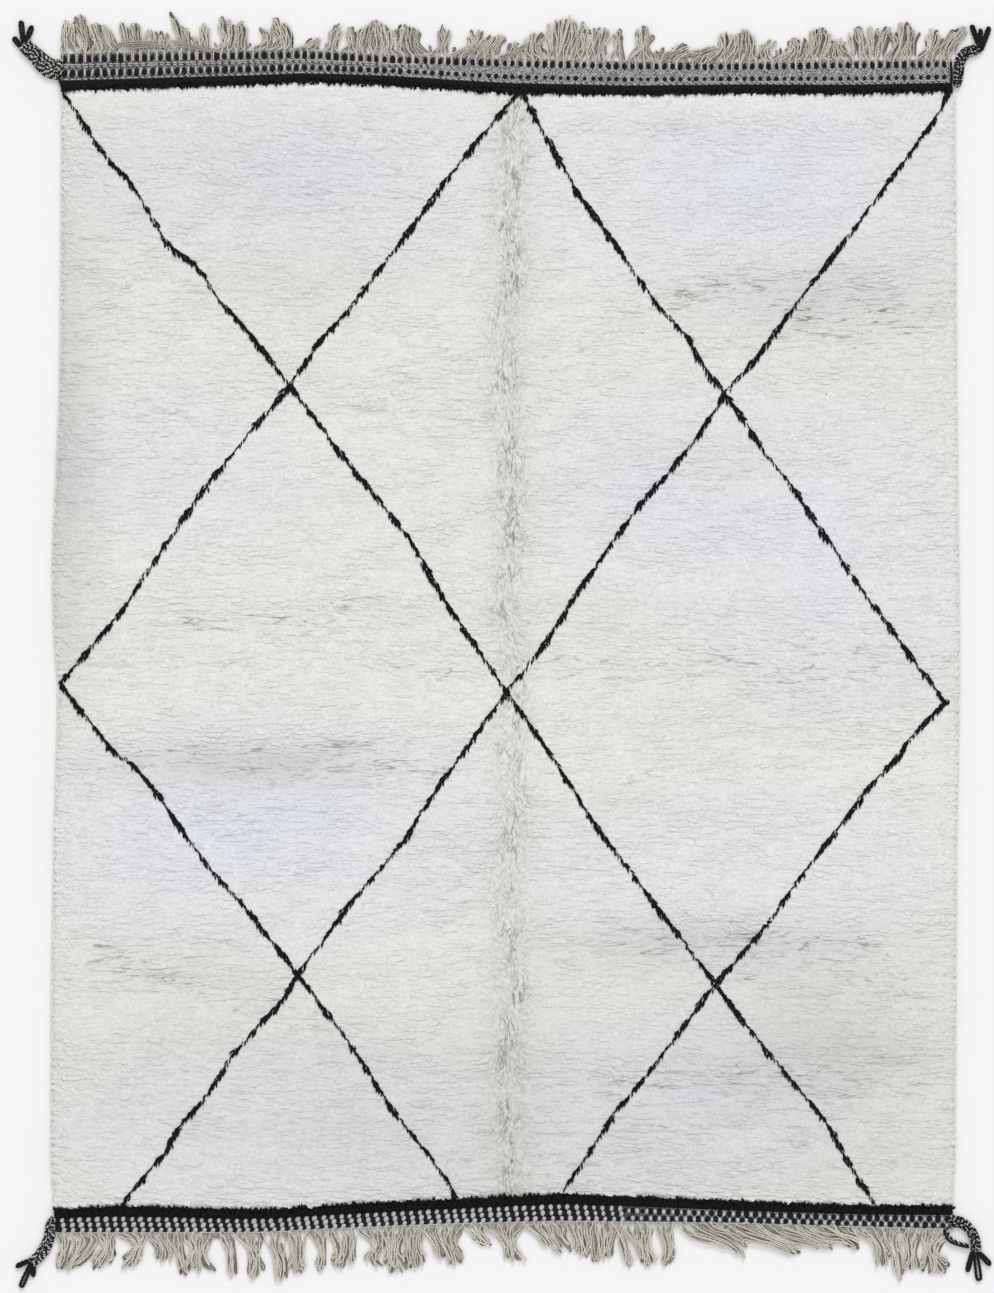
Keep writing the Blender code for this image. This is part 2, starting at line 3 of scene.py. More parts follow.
import bmesh
import bpy
import numpy as np
from mathutils.bvhtree import BVHTree
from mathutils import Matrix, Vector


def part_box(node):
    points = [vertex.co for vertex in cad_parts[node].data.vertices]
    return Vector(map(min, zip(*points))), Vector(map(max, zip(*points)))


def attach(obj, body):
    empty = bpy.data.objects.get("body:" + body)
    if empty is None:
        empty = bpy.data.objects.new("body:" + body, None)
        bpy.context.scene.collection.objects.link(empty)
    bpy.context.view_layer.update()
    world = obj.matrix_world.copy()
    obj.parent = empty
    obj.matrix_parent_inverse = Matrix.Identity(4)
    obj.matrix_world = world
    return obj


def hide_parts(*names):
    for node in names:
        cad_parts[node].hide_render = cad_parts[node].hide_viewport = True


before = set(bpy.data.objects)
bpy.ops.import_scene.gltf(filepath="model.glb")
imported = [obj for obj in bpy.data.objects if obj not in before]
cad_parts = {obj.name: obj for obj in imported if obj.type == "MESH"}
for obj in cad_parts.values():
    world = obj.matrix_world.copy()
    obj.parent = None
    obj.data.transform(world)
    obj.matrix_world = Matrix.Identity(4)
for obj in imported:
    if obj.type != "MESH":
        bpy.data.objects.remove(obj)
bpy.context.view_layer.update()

# A hand-knotted wool rug, seen from above. Lengths in the settings are in millimetres and
# angles in degrees. +Y is the end with the two dotted rows, and the floor is at z = 0.
mm = 0.001
uvName = "OFBake"  # the map that strand pieces bring along, one small cell for each strand


# ---- helpers

def linear(hexColour):  # sRGB hex to the linear colour that shaders want
    parts = [int(hexColour[i:i + 2], 16) / 255 for i in (1, 3, 5)]
    return [c / 12.92 if c <= 0.04045 else ((c + 0.055) / 1.055) ** 2.4 for c in parts] + [1.0]


def addNode(tree, kind, feeds=None, **settings):
    # feeds holds an input's value, or the node or socket that it is linked to
    node = tree.nodes.new(kind)
    for name, value in settings.items():
        setattr(node, name, value)
    for name, value in (feeds or {}).items():
        socket = node.inputs[name]
        if isinstance(value, bpy.types.Node):
            value = next(out for out in value.outputs if out.enabled)
        if isinstance(value, bpy.types.NodeSocket):
            tree.links.new(value, socket)
        else:
            socket.default_value = value
    return node


def calculate(tree, operation, *feeds):
    return addNode(tree, "ShaderNodeMath", dict(enumerate(feeds)), operation=operation)


def remap(tree, value, low=0.0, high=1.0, first=0.0, last=1.0):
    # Spreads low to high over first to last, and holds what is beyond them
    return addNode(tree, "ShaderNodeMapRange", {
        "Value": value, "From Min": low, "From Max": high, "To Min": first, "To Max": last,
    })


def scaleBy(tree, vector, share):
    return addNode(tree, "ShaderNodeVectorMath", {0: vector, "Scale": share}, operation="SCALE")


def mixValues(tree, share, first, second):
    return addNode(tree, "ShaderNodeMix", {"Factor": share, 2: first, 3: second}).outputs[0]


def mixColours(tree, share, first, second):
    # first and second are sRGB hex codes, or sockets
    feeds = {"Factor": share}
    for place, colour in ((6, first), (7, second)):
        feeds[place] = linear(colour) if isinstance(colour, str) else colour
    return addNode(tree, "ShaderNodeMix", feeds, data_type="RGBA").outputs[2]


def readField(tree, name, kind="FLOAT"):
    return addNode(tree, "GeometryNodeInputNamedAttribute", {"Name": name}, data_type=kind)


def storeField(tree, geometry, name, value, kind, domain):
    return addNode(tree, "GeometryNodeStoreNamedAttribute", {
        "Geometry": geometry, "Name": name, "Value": value,
    }, data_type=kind, domain=domain)


def readShade(tree, name):  # the same attribute, in a material
    return addNode(tree, "ShaderNodeAttribute", attribute_name=name).outputs["Fac"]


def vertexPlaces(data):
    return np.array([v.co for v in data.vertices])


def meshData(name, mesh, recalculate=True):
    # Turns a bmesh into mesh data, with its faces outwards
    if recalculate:
        bmesh.ops.recalc_face_normals(mesh, faces=mesh.faces)
    data = bpy.data.meshes.new(name)
    mesh.to_mesh(data)
    mesh.free()
    return data


def blotches(x, y, wide, high, seed):
    # A soft random field from 0 to 1 with blotches of this size in metres
    table = np.random.default_rng(seed).random((97, 89))
    gx, gy = np.asarray(x) / wide, np.asarray(y) / high
    ix, iy = np.floor(gx).astype(int), np.floor(gy).astype(int)
    fx, fy = gx - ix, gy - iy
    fx, fy = fx * fx * (3 - 2 * fx), fy * fy * (3 - 2 * fy)

    def corner(dx, dy):
        return table[(ix + dx) % 97, (iy + dy) % 89]

    low = corner(0, 0) * (1 - fx) + corner(1, 0) * fx
    high = corner(0, 1) * (1 - fx) + corner(1, 1) * fx
    return low * (1 - fy) + high * fy


def smoothRoute(points, step):
    # A smooth curve through the points, cut into equal steps
    p = np.asarray(points, float)
    padded = np.vstack([2 * p[0] - p[1], p, 2 * p[-1] - p[-2]])
    t = np.linspace(0, 1, 10, endpoint=False)[:, None]
    fine = []
    for a, b, c, d in zip(padded, padded[1:], padded[2:], padded[3:]):
        bend = (2 * a - 5 * b + 4 * c - d) * t**2 + (3 * b - a - 3 * c + d) * t**3
        fine.append(0.5 * (2 * b + (c - a) * t + bend))
    fine = np.vstack([*fine, p[-1:]])
    far = np.concatenate([[0], np.cumsum(np.linalg.norm(np.diff(fine, axis=0), axis=1))])
    at = np.linspace(0, far[-1], max(4, round(far[-1] / step) + 1))
    return np.stack([np.interp(at, far, fine[:, k]) for k in range(fine.shape[1])], 1)


def footEdge(node, along, side):
    # Edge of a node's foot as a function: its low or high side, along x (0) or along y (1)
    places = vertexPlaces(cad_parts[node].data)
    foot = places[places[:, 2] < 0.1 * mm]
    spans = []
    for stop in np.unique(foot[:, along].round(4)):
        there = foot[abs(foot[:, along] - stop) < 0.1 * mm, 1 - along]
        if np.ptp(there) > 4 * mm:  # both edges have a point here
            spans.append((stop, (there.min() + there.max()) / 2))
    spans = np.array(spans)
    beyond = foot[:, 1 - along] - np.interp(foot[:, along], spans[:, 0], spans[:, 1])
    foot = foot[beyond < 0] if side == "low" else foot[beyond > 0]
    stops = np.unique(foot[:, along].round(4))
    pick = np.min if side == "low" else np.max
    edge = [pick(foot[abs(foot[:, along] - s) < 0.1 * mm, 1 - along]) for s in stops]
    return lambda t: np.interp(t, stops, edge)


def setAttribute(mesh, name, values, kind="FLOAT"):
    # Stores a value for each point of the mesh, for the trees and the materials to read
    layer = mesh.attributes.new(name, kind, "POINT")
    field = "value" if kind == "FLOAT" else "vector"
    layer.data.foreach_set(field, np.ravel(values).astype(np.float32))


def runTree(name, mesh, tree, values):
    # Runs the tree on the mesh, and keeps the result as a plain mesh at the origin
    source = bpy.data.objects.new(name + "Source", mesh)
    bpy.context.scene.collection.objects.link(source)
    modifier = source.modifiers.new("tree", "NODES")
    modifier.node_group = tree
    for item in tree.interface.items_tree:
        if item.in_out == "INPUT" and item.name in values:
            modifier[item.identifier] = values[item.name]
    bpy.context.view_layer.update()
    depsgraph = bpy.context.evaluated_depsgraph_get()
    result = bpy.data.meshes.new_from_object(
        source.evaluated_get(depsgraph), preserve_all_data_layers=True, depsgraph=depsgraph
    )
    bpy.data.objects.remove(source)
    return addPiece(name, result)


def addPiece(name, mesh, material=None):
    piece = bpy.data.objects.new(name, mesh)
    mesh.name = name
    if material:
        mesh.materials.append(material)
        mesh.shade_smooth()
    bpy.context.scene.collection.objects.link(piece)
    return piece


def shadeWithGround(piece, share):
    # Pile shades nearly as the cloth below it: this share of each normal points straight up
    mesh = piece.data
    normals = np.empty(len(mesh.vertices) * 3, np.float32)
    mesh.vertex_normals.foreach_get("vector", normals)
    normals = normals.reshape(-1, 3) * (1 - share) + np.array((0, 0, share))
    normals /= np.linalg.norm(normals, axis=1)[:, None]
    mesh.normals_split_custom_set_from_vertices(normals.tolist())


def finishPiece(piece, slot, *nodes):
    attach(piece, "root")
    if nodes:
        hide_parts(*nodes)
    piece.data.calc_loop_triangles()
    print(f"{piece.name}: {len(piece.data.loop_triangles)} triangles")


def newTree(name, sockets):
    tree = bpy.data.node_groups.new(name, "GeometryNodeTree")
    for label, kind in sockets:
        tree.interface.new_socket(label, in_out="INPUT", socket_type="NodeSocket" + kind)
    tree.interface.new_socket("Geometry", in_out="OUTPUT", socket_type="NodeSocketGeometry")
    return tree, addNode(tree, "NodeGroupInput").outputs


# ---- the two trees: tufts and stitches on anchors, and twisted yarns along routes

def makePlantTree():
    # Puts one piece on each anchor, which says how it is aimed and how large it is
    tree, given = newTree("plantOnAnchors", (
        ("Geometry", "Geometry"), ("Piece", "Object"), ("Lean scatter", "Float"),
        ("Turn scatter", "Float"), ("Size scatter", "Float"), ("Map cells", "Int"),
        ("Seed", "Int"), ("Smooth", "Bool"), ("Material", "Material"),
    ))
    aim = readField(tree, "aim", "FLOAT_VECTOR")
    size = readField(tree, "size", "FLOAT_VECTOR")
    randoms = []
    for k, label in enumerate(("Lean scatter", "Turn scatter", "Size scatter")):
        low = calculate(tree, "MULTIPLY", given[label], -1.0)
        seed = calculate(tree, "ADD", given["Seed"], float(k))
        randoms.append(addNode(
            tree, "FunctionNodeRandomValue", {2: low, 3: given[label], "Seed": seed}, data_type="FLOAT"
        ))
    sway = addNode(tree, "ShaderNodeCombineXYZ", {"Y": randoms[0], "Z": randoms[1]})
    turned = addNode(tree, "ShaderNodeVectorMath", {0: aim, 1: sway}, operation="ADD")
    rotation = addNode(tree, "FunctionNodeEulerToRotation", {0: turned})
    scale = scaleBy(tree, size, calculate(tree, "ADD", randoms[2], 1.0))
    piece = addNode(tree, "GeometryNodeObjectInfo", {"Object": given["Piece"]})
    planted = addNode(tree, "GeometryNodeInstanceOnPoints", {
        "Points": given["Geometry"], "Instance": piece.outputs["Geometry"],
        "Rotation": rotation, "Scale": scale,
    })
    index = addNode(tree, "GeometryNodeInputIndex")
    numbered = storeField(tree, planted, "cell", index, "FLOAT", "INSTANCE")
    real = addNode(tree, "GeometryNodeRealizeInstances", {"Geometry": numbered})
    # each piece gets a square cell of the map
    cell = readField(tree, "cell")
    column = calculate(tree, "MODULO", cell, given["Map cells"])
    share = calculate(tree, "DIVIDE", cell, given["Map cells"])
    row = calculate(tree, "FLOOR", share)
    corner = addNode(tree, "ShaderNodeCombineXYZ", {"X": column, "Y": row})
    local = readField(tree, uvName, "FLOAT_VECTOR")
    within = addNode(tree, "ShaderNodeVectorMath", {0: local, 1: corner}, operation="ADD")
    inverse = calculate(tree, "DIVIDE", 1.0, given["Map cells"])
    place = scaleBy(tree, within, inverse)
    mapped = storeField(tree, real, uvName, place, "FLOAT2", "CORNER")
    smooth = addNode(tree, "GeometryNodeSetShadeSmooth", {
        "Geometry": mapped, "Shade Smooth": given["Smooth"],
    })
    painted = addNode(tree, "GeometryNodeSetMaterial", {
        "Geometry": smooth, "Material": given["Material"],
    })
    addNode(tree, "NodeGroupOutput", {"Geometry": painted})
    return tree


def makeYarnTree():
    # Sweeps a two-ply section along each route, turned by the twist that the route holds
    tree, given = newTree("twistYarns", (
        ("Geometry", "Geometry"), ("Sides", "Int"), ("Groove", "Float"), ("Map rows", "Int"),
        ("Material", "Material"),
    ))
    turn = readField(tree, "turn")
    thick = readField(tree, "thick")
    route = addNode(tree, "GeometryNodeMeshToCurve", {"Mesh": given["Geometry"]})
    twisted = addNode(tree, "GeometryNodeSetCurveTilt", {"Curve": route, "Tilt": turn})

    ring = addNode(tree, "GeometryNodeCurvePrimitiveCircle", {
        "Resolution": given["Sides"], "Radius": 1.0,
    })
    index = addNode(tree, "GeometryNodeInputIndex")
    around = calculate(tree, "DIVIDE", index, given["Sides"])
    angle = calculate(tree, "MULTIPLY", around, 2 * math.pi)
    ply = calculate(tree, "COSINE", angle)
    double = calculate(tree, "MULTIPLY", angle, 2.0)
    wave = calculate(tree, "COSINE", double)
    lobe = remap(tree, wave, -1.0, 1.0)
    sunk = calculate(tree, "SUBTRACT", 1.0, given["Groove"])
    reach = remap(tree, lobe, 0.0, 1.0, sunk, 1.0)
    position = addNode(tree, "GeometryNodeInputPosition")
    shaped = scaleBy(tree, position, reach)
    section = addNode(tree, "GeometryNodeSetPosition", {"Geometry": ring, "Position": shaped})
    for name, value in (("around", around), ("ply", ply), ("lobe", lobe)):
        section = storeField(tree, section, name, value, "FLOAT", "POINT")

    swept = addNode(tree, "GeometryNodeCurveToMesh", {
        "Curve": twisted, "Profile Curve": section, "Scale": thick, "Fill Caps": True,
    })
    # each yarn gets a row of the map, and the face that closes the ring is not folded back
    ringShare = readField(tree, "around")
    faceShare = addNode(
        tree, "GeometryNodeFieldOnDomain", {0: ringShare}, domain="FACE", data_type="FLOAT"
    )
    off = calculate(tree, "SUBTRACT", faceShare, ringShare)
    wraps = calculate(tree, "GREATER_THAN", off, 0.3)
    across = calculate(tree, "ADD", ringShare, wraps)
    inset = remap(tree, across, 0.0, 1.0, 0.08, 0.92)
    number = readField(tree, "cell")
    row = calculate(tree, "ADD", inset, number)
    v = calculate(tree, "DIVIDE", row, given["Map rows"])
    u = readField(tree, "along")
    place = addNode(tree, "ShaderNodeCombineXYZ", {"X": u, "Y": v})
    mapped = storeField(tree, swept, uvName, place, "FLOAT2", "CORNER")
    smooth = addNode(tree, "GeometryNodeSetShadeSmooth", {"Geometry": mapped})
    real = addNode(tree, "GeometryNodeRealizeInstances", {"Geometry": smooth})
    painted = addNode(tree, "GeometryNodeSetMaterial", {
        "Geometry": real, "Material": given["Material"],
    })
    addNode(tree, "NodeGroupOutput", {"Geometry": painted})
    return tree


plantTree = makePlantTree()
yarnTree = makeYarnTree()


def plant(name, anchors, piece, material, scatter, seed, smooth=False):
    # Plants one piece on each anchor, and hands the anchors' other values on as attributes
    count = len(anchors["place"])
    mesh = bpy.data.meshes.new(name + "Anchors")
    mesh.from_pydata(anchors["place"].tolist(), [], [])
    for key in ("aim", "size"):
        setAttribute(mesh, key, anchors[key], "FLOAT_VECTOR")
    for key, values in anchors.items():
        if key not in ("place", "aim", "size"):
            setAttribute(mesh, key, values)
    return runTree(name, mesh, plantTree, {
        "Piece": piece, "Lean scatter": math.radians(scatter["lean"]),
        "Turn scatter": math.radians(scatter["turn"]), "Size scatter": scatter["size"],
        "Map cells": math.ceil(math.sqrt(count)), "Seed": seed, "Smooth": smooth,
        "Material": material,
    })


def yarn(points, radius, step, pitch, tone=0.5, phase=0.0, blunt=True):
    # One route for the yarn tree: points, radius, step and pitch in metres
    route = smoothRoute(points, step)
    far = np.linspace(0, len(route) - 1, len(route)) * step
    thick = np.full(len(route), radius)
    if blunt:
        for k, share in enumerate((0.45, 0.85)):
            thick[k] *= share
            thick[-1 - k] *= share
    turn = phase + 2 * math.pi * far / pitch
    first, last = tone if isinstance(tone, tuple) else (tone, tone)
    tones = first + (last - first) * np.clip(np.linspace(-0.3, 2.0, len(route)), 0, 1)
    return {"route": route, "thick": thick, "turn": turn, "tone": tones}


def spin(name, yarns, sides, groove, material):
    # Twists all these yarns into one mesh
    mesh = bpy.data.meshes.new(name + "Routes")
    edges, start = [], 0
    for y in yarns:
        count = len(y["route"])
        edges += [(start + i, start + i + 1) for i in range(count - 1)]
        start += count
    mesh.from_pydata(np.vstack([y["route"] for y in yarns]).tolist(), edges, [])
    for key in ("thick", "turn", "tone"):
        setAttribute(mesh, key, np.concatenate([y[key] for y in yarns]))
    spans = [np.ones(len(y["route"])) for y in yarns]
    setAttribute(mesh, "cell", np.concatenate([s * k for k, s in enumerate(spans)]))
    setAttribute(mesh, "along", np.concatenate([np.linspace(0.01, 0.99, len(s)) for s in spans]))
    return runTree(name, mesh, yarnTree, {
        "Sides": sides, "Groove": groove, "Map rows": len(yarns), "Material": material,
    })


def tuftShape(name, sides, plump, bend):
    # A lock of pile, 1 high and 1 wide: a closed spindle that bends towards +X
    mesh = bmesh.new()
    uv = mesh.loops.layers.uv.new(uvName)
    tipShare = mesh.verts.layers.float.new("tip")
    root = mesh.verts.new((0, 0, 0))
    tip = mesh.verts.new((bend, 0, 1))
    ring = []
    for k in range(sides):
        turn = 2 * math.pi * k / sides
        ring.append(mesh.verts.new((
            bend * 0.3 + 0.5 * math.cos(turn), 0.5 * math.sin(turn), plump
        )))
    root[tipShare], tip[tipShare] = 0.0, 1.0
    for vert in ring:
        vert[tipShare] = plump
    for k in range(sides):
        near, far = ring[k], ring[(k + 1) % sides]
        for verts, top in (((near, far, tip), 0.94), ((far, near, root), 0.06)):
            face = mesh.faces.new(verts)
            face.smooth = True
            left, right = 0.06 + 0.88 * k / sides, 0.06 + 0.88 * (k + 1) / sides
            for loop in face.loops:
                across = {near: left, far: right}.get(loop.vert, (left + right) / 2)
                loop[uv].uv = (across, top if loop.vert in (tip, root) else 0.5)
    return shapeObject(name, mesh)


def combedShape(name):
    # A flat lock of sheared pile, 1 long and 1 wide, which widens to a blunt front
    mesh = bmesh.new()
    uv = mesh.loops.layers.uv.new(uvName)
    tipShare = mesh.verts.layers.float.new("tip")
    corners = (
        (0, 0, 0, 0.0), (-0.2, -0.5, 0.5, 0.5), (-0.2, 0.5, 0.5, 0.5), (0.2, -0.4, 0.94, 1.0),
        (0.2, 0.4, 1.0, 1.0), (0.9, 0.0, 0.6, 0.5),
    )
    verts = [mesh.verts.new(corner[:3]) for corner in corners]
    for vert, (_, _, _, share) in zip(verts, corners):
        vert[tipShare] = share
    spread = ((0.5, 0.05), (0.06, 0.5), (0.94, 0.5), (0.1, 0.94), (0.9, 0.94), (0.5, 0.6))
    for three in (
        (0, 2, 1), (1, 2, 4), (1, 4, 3), (0, 5, 2), (0, 1, 5), (1, 3, 5), (3, 4, 5), (4, 2, 5)
    ):
        face = mesh.faces.new([verts[k] for k in three])
        for loop, k in zip(face.loops, three):
            loop[uv].uv = spread[k]
    return shapeObject(name, mesh)


def stitchShape(name, sides, rings):
    # A plump stitch, 1 long along Y, 1 wide and 1 high, a little narrower at its +Y end
    mesh = bmesh.new()
    bmesh.ops.create_uvsphere(mesh, u_segments=sides, v_segments=rings, radius=0.5)
    slant = (1.0, 0.37, 0.113)  # any way that tells the points apart, for the same order each run
    mesh.verts.sort(key=lambda vert: round(vert.co.dot(slant), 5))
    mesh.faces.sort(key=lambda face: round(face.calc_center_median().dot(slant), 5))
    tipShare = mesh.verts.layers.float.new("tip")
    uv = mesh.loops.layers.uv.new(uvName)
    for vert in mesh.verts:
        vert[tipShare] = 0.5 + vert.co.z
        vert.co.x, vert.co.y, vert.co.z = vert.co.y, vert.co.z, vert.co.x
        vert.co.x *= 1.08 - 0.5 * max(vert.co.y, 0) - 0.2 * abs(vert.co.y)
        vert.co.z = max(vert.co.z, -0.2)
    for face in mesh.faces:
        face.smooth = True
        middle = face.calc_center_median()
        for loop in face.loops:
            turn = math.atan2(loop.vert.co.z, loop.vert.co.x)
            gap = turn - math.atan2(middle.z, middle.x)
            turn -= 2 * math.pi * round(gap / (2 * math.pi))
            if abs(loop.vert.co.y) > 0.499:
                turn = math.atan2(middle.z, middle.x)
            loop[uv].uv = (0.5 + turn / 7.2, 0.5 + loop.vert.co.y * 0.86)
    return shapeObject(name, mesh)


def shapeObject(name, mesh):
    # Only a source for instances, so it isn't linked
    return bpy.data.objects.new(name, meshData(name, mesh))


# ---- materials

def startMaterial(name, roughness, sheen):
    material = bpy.data.materials.new(name)
    material.use_nodes = True
    shader = material.node_tree.nodes["Principled BSDF"]
    shader.inputs["Roughness"].default_value = roughness
    shader.inputs["Specular IOR Level"].default_value = 0.25  # wool scatters more than it shines
    shader.inputs["Sheen Weight"].default_value = sheen
    shader.inputs["Sheen Roughness"].default_value = 0.6
    return material, material.node_tree, shader


def finishMaterial(material, shader, colour, strength, deep, height):
    # Links the colour, and a bump that is this many millimetres deep
    tree = material.node_tree
    bump = addNode(tree, "ShaderNodeBump", {
        "Strength": strength, "Distance": deep * mm, "Height": height,
    })
    if isinstance(colour, bpy.types.Node):
        colour = colour.outputs[0]
    tree.links.new(colour, shader.inputs["Base Color"])
    tree.links.new(bump.outputs[0], shader.inputs["Normal"])
    return material


def stretched(tree, wide, high, deep, seed, detail=2.0, warp=0.0):
    # Noise whose blotches have these sizes in millimetres along X, Y and Z
    where = addNode(tree, "ShaderNodeTexCoord").outputs["Object"]
    scaled = addNode(tree, "ShaderNodeMapping", {
        "Vector": where, "Location": (seed, seed * 0.7, 0),
        "Scale": (1 / (wide * mm), 1 / (high * mm), 1 / (deep * mm)),
    })
    return addNode(tree, "ShaderNodeTexNoise", {
        "Vector": scaled, "Scale": 1.0, "Detail": detail, "Distortion": warp,
    })


# The darkest colour is painted shade, for the fine cracks where rows of knots part
pileLook = {
    "warm": "#E7E7E3", "cool": "#E0E2EC", "parting": "#E0E1DA", "crackShade": "#8C8A82",
    "crackLong": 130, "crackHigh": 17, "crackThin": 0.026, "dashLong": 60, "dashWide": 13,
    "fibre": 4,  # coarser than real hairs, which would be too fine to show
}


def ridges(tree, wide, high, seed, thin):
    # Thin wavy lines, where one blotch of noise meets the next
    noise = stretched(tree, wide, high, 60, seed, 3.0, 0.5)
    off = calculate(tree, "SUBTRACT", noise, 0.5)
    off = calculate(tree, "ABSOLUTE", off)
    return remap(tree, off, 0.0, thin, 1.0, 0.0)


def makeIvoryWool():
    # Undyed sheep's wool, hand-knotted and sheared: matt, ivory, cooler and warmer by the fleece,
    # with painted shade in fine cracks where rows of knots open, across the rug and along its parting
    material, tree, shader = startMaterial("handKnottedIvoryWool", 0.95, 0.1)
    cool, parted, opened, tone, tip, shade = (
        readShade(tree, name) for name in ("cool", "parted", "open", "tone", "tip", "shade")
    )
    base = mixColours(tree, cool, pileLook["warm"], pileLook["cool"])
    # the parting is painted darker and yellower where the opened pile shows deeper yarn; its darkness is
    # painted shade
    base = mixColours(tree, parted, base, pileLook["parting"])
    rows = ridges(tree, pileLook["crackLong"], pileLook["crackHigh"], 9.0, pileLook["crackThin"])
    columns = ridges(tree, pileLook["dashWide"], pileLook["dashLong"], 4.0, 0.05)
    crackShade = mixValues(tree, parted, rows, columns)
    gaps = mixValues(
        tree, parted, stretched(tree, 120, 22, 60, 7.0), stretched(tree, 34, 60, 60, 7.0)
    )
    crackShade = calculate(tree, "MULTIPLY", crackShade, remap(tree, gaps, 0.42, 0.56))
    crackShade = calculate(tree, "MULTIPLY", crackShade, opened)
    # painted shade: the colour darkens in the cracks where rows of knots part
    crackShaded = mixColours(tree, crackShade, base, pileLook["crackShade"])
    fibre = stretched(tree, pileLook["fibre"], pileLook["fibre"], pileLook["fibre"], 1.0)
    # hairs lie in streaks along the rows of knots, and along the parting beside it
    across = remap(tree, stretched(tree, 26, 5.5, 40, 8.0, 3.0), 0.34, 0.66, 0.965, 1.03)
    along = remap(tree, stretched(tree, 6, 12, 40, 6.0, 3.0), 0.34, 0.66, 0.8, 1.1)
    value = mixValues(tree, parted, across, along)
    grain = stretched(tree, 6.5, 5, 6.5, 3.0, 2.0)  # knots just too small to tell apart
    # painted shade: tip darkens each lock a little towards its root, and shade is the painted darkening
    # of shadeField
    for source, low, high, dark, light in (
        (grain, 0.32, 0.68, 0.91, 1.065), (fibre, 0.3, 0.7, 0.96, 1.04),
        (tip, 0.0, 0.6, 0.985, 1.0), (tone, 0.0, 1.0, 0.985, 1.015), (shade, 0.0, 1.0, 1.0, 0.8),
    ):
        value = calculate(tree, "MULTIPLY", value, remap(tree, source, low, high, dark, light))
    height = calculate(tree, "ADD", calculate(tree, "MULTIPLY", crackShade, -2.5), fibre)
    return finishMaterial(material, shader, scaleBy(tree, crackShaded, value), 0.3, 0.8, height)


def makeYarnMaterial(name, dark, light, roughness, sheen, byPly, groove=0.55, fibre=2.2):
    # Spun wool yarn: the plies' grooves are painted darker, as painted shade, and the fibres run round
    # the twist
    material, tree, shader = startMaterial(name, roughness, sheen)
    tone = readShade(tree, "tone")
    if byPly:  # one ply dark and one light, tone says how much of the light one shows
        ply = readShade(tree, "ply")
        shift = remap(tree, tone, 0.0, 1.0, -1.9, 1.9)
        broken = remap(tree, stretched(tree, 5, 5, 5, 3.0, 1.0), 0.3, 0.7, -0.75, 0.75)
        shift = calculate(tree, "ADD", shift, broken)
        tone = calculate(tree, "ADD", ply, shift)
        tone = remap(tree, tone, -0.12, 0.12)
    noise = stretched(tree, fibre, fibre, fibre, 5.0, 3.0)
    mixed = mixColours(tree, tone, dark, light)
    # painted shade: the grooves between plies are darker, down to groove times the colour
    lobe = readShade(tree, "lobe")
    deep = remap(tree, lobe, 0.0, 1.0, groove, 1.0)
    hairy = remap(tree, noise, 0.3, 0.7, 0.82, 1.1)
    shade = calculate(tree, "MULTIPLY", deep, hairy)
    return finishMaterial(material, shader, scaleBy(tree, mixed, shade), 0.5, 0.5, noise)


def makeBlackWool():
    # Wool dyed black: nearly no light comes back, apart from a faint cool sheen, painted as a lighter
    # colour towards the tips
    material, tree, shader = startMaterial("handKnottedBlackWool", 0.95, 0.02)
    fibre = stretched(tree, 2.4, 2.4, 2.4, 2.0)
    tip = readShade(tree, "tip")
    both = calculate(tree, "MULTIPLY", tip, fibre)
    colour = mixColours(tree, both, "#07080A", "#15171B")
    return finishMaterial(material, shader, colour, 0.4, 0.8, fibre)


def makeTwinedGround():
    # Tight rows twined in black and grey-white wool: small slanted flecks, which read as grey,
    # and nearly black where the attribute tone is low
    material, tree, shader = startMaterial("twinedGroundWool", 0.92, 0.05)
    across, tone = readShade(tree, "across"), readShade(tree, "tone")
    where = addNode(tree, "ShaderNodeTexCoord").outputs["Object"]
    where = addNode(tree, "ShaderNodeSeparateXYZ", {0: where})
    rows = calculate(tree, "MULTIPLY", across, float(headingRidges))
    row = calculate(tree, "FLOOR", rows)
    slant = calculate(tree, "MULTIPLY", rows, 0.5)
    shift = calculate(tree, "MULTIPLY", row, 0.23)
    along = calculate(tree, "MULTIPLY", where, 1 / (8 * mm))
    phase = calculate(tree, "ADD", along, slant)
    phase = calculate(tree, "ADD", phase, shift)
    phase = calculate(tree, "MULTIPLY", phase, 2 * math.pi)
    wave = calculate(tree, "SINE", phase)
    noise = stretched(tree, 4.5, 3, 9, 5.0, 1.0)
    uneven = remap(tree, noise, 0.25, 0.75, -2.2, 2.2)
    wave = calculate(tree, "ADD", wave, uneven)
    fleck = remap(tree, wave, -0.9, 0.9)
    light = mixColours(tree, tone, "#1B1C1F", "#C2C3C5")
    dark = mixColours(tree, tone, "#08090B", "#66686C")
    return finishMaterial(material, shader, mixColours(tree, fleck, dark, light), 0.6, 1.2, wave)


headingRidges = 10  # twined rows in the ground of each heading
twinedGround = makeTwinedGround()
ivoryWool = makeIvoryWool()
blackWool = makeBlackWool()
twinedWool = makeYarnMaterial("twinedHeadingWool", "#0B0C0E", "#C9CACB", 0.9, 0.1, False)
fleckedWool = makeYarnMaterial("blackAndWhitePliedWool", "#08090B", "#D8D6D0", 0.9, 0.1, True)
# the warp yarn's dark colour is painted shade, for fringe cords that lie below others
warpYarn = makeYarnMaterial("handSpunWarpYarn", "#4C4033", "#F6F0E2", 0.9, 0.15, False, 0.7)
selvedgeYarn = makeYarnMaterial("wrappedSelvedgeWool", "#E4E2DC", "#F2F0EA", 0.92, 0.15, False, 0.88)
print("materials made")


# ---- the field: ground weave, pile and lattice

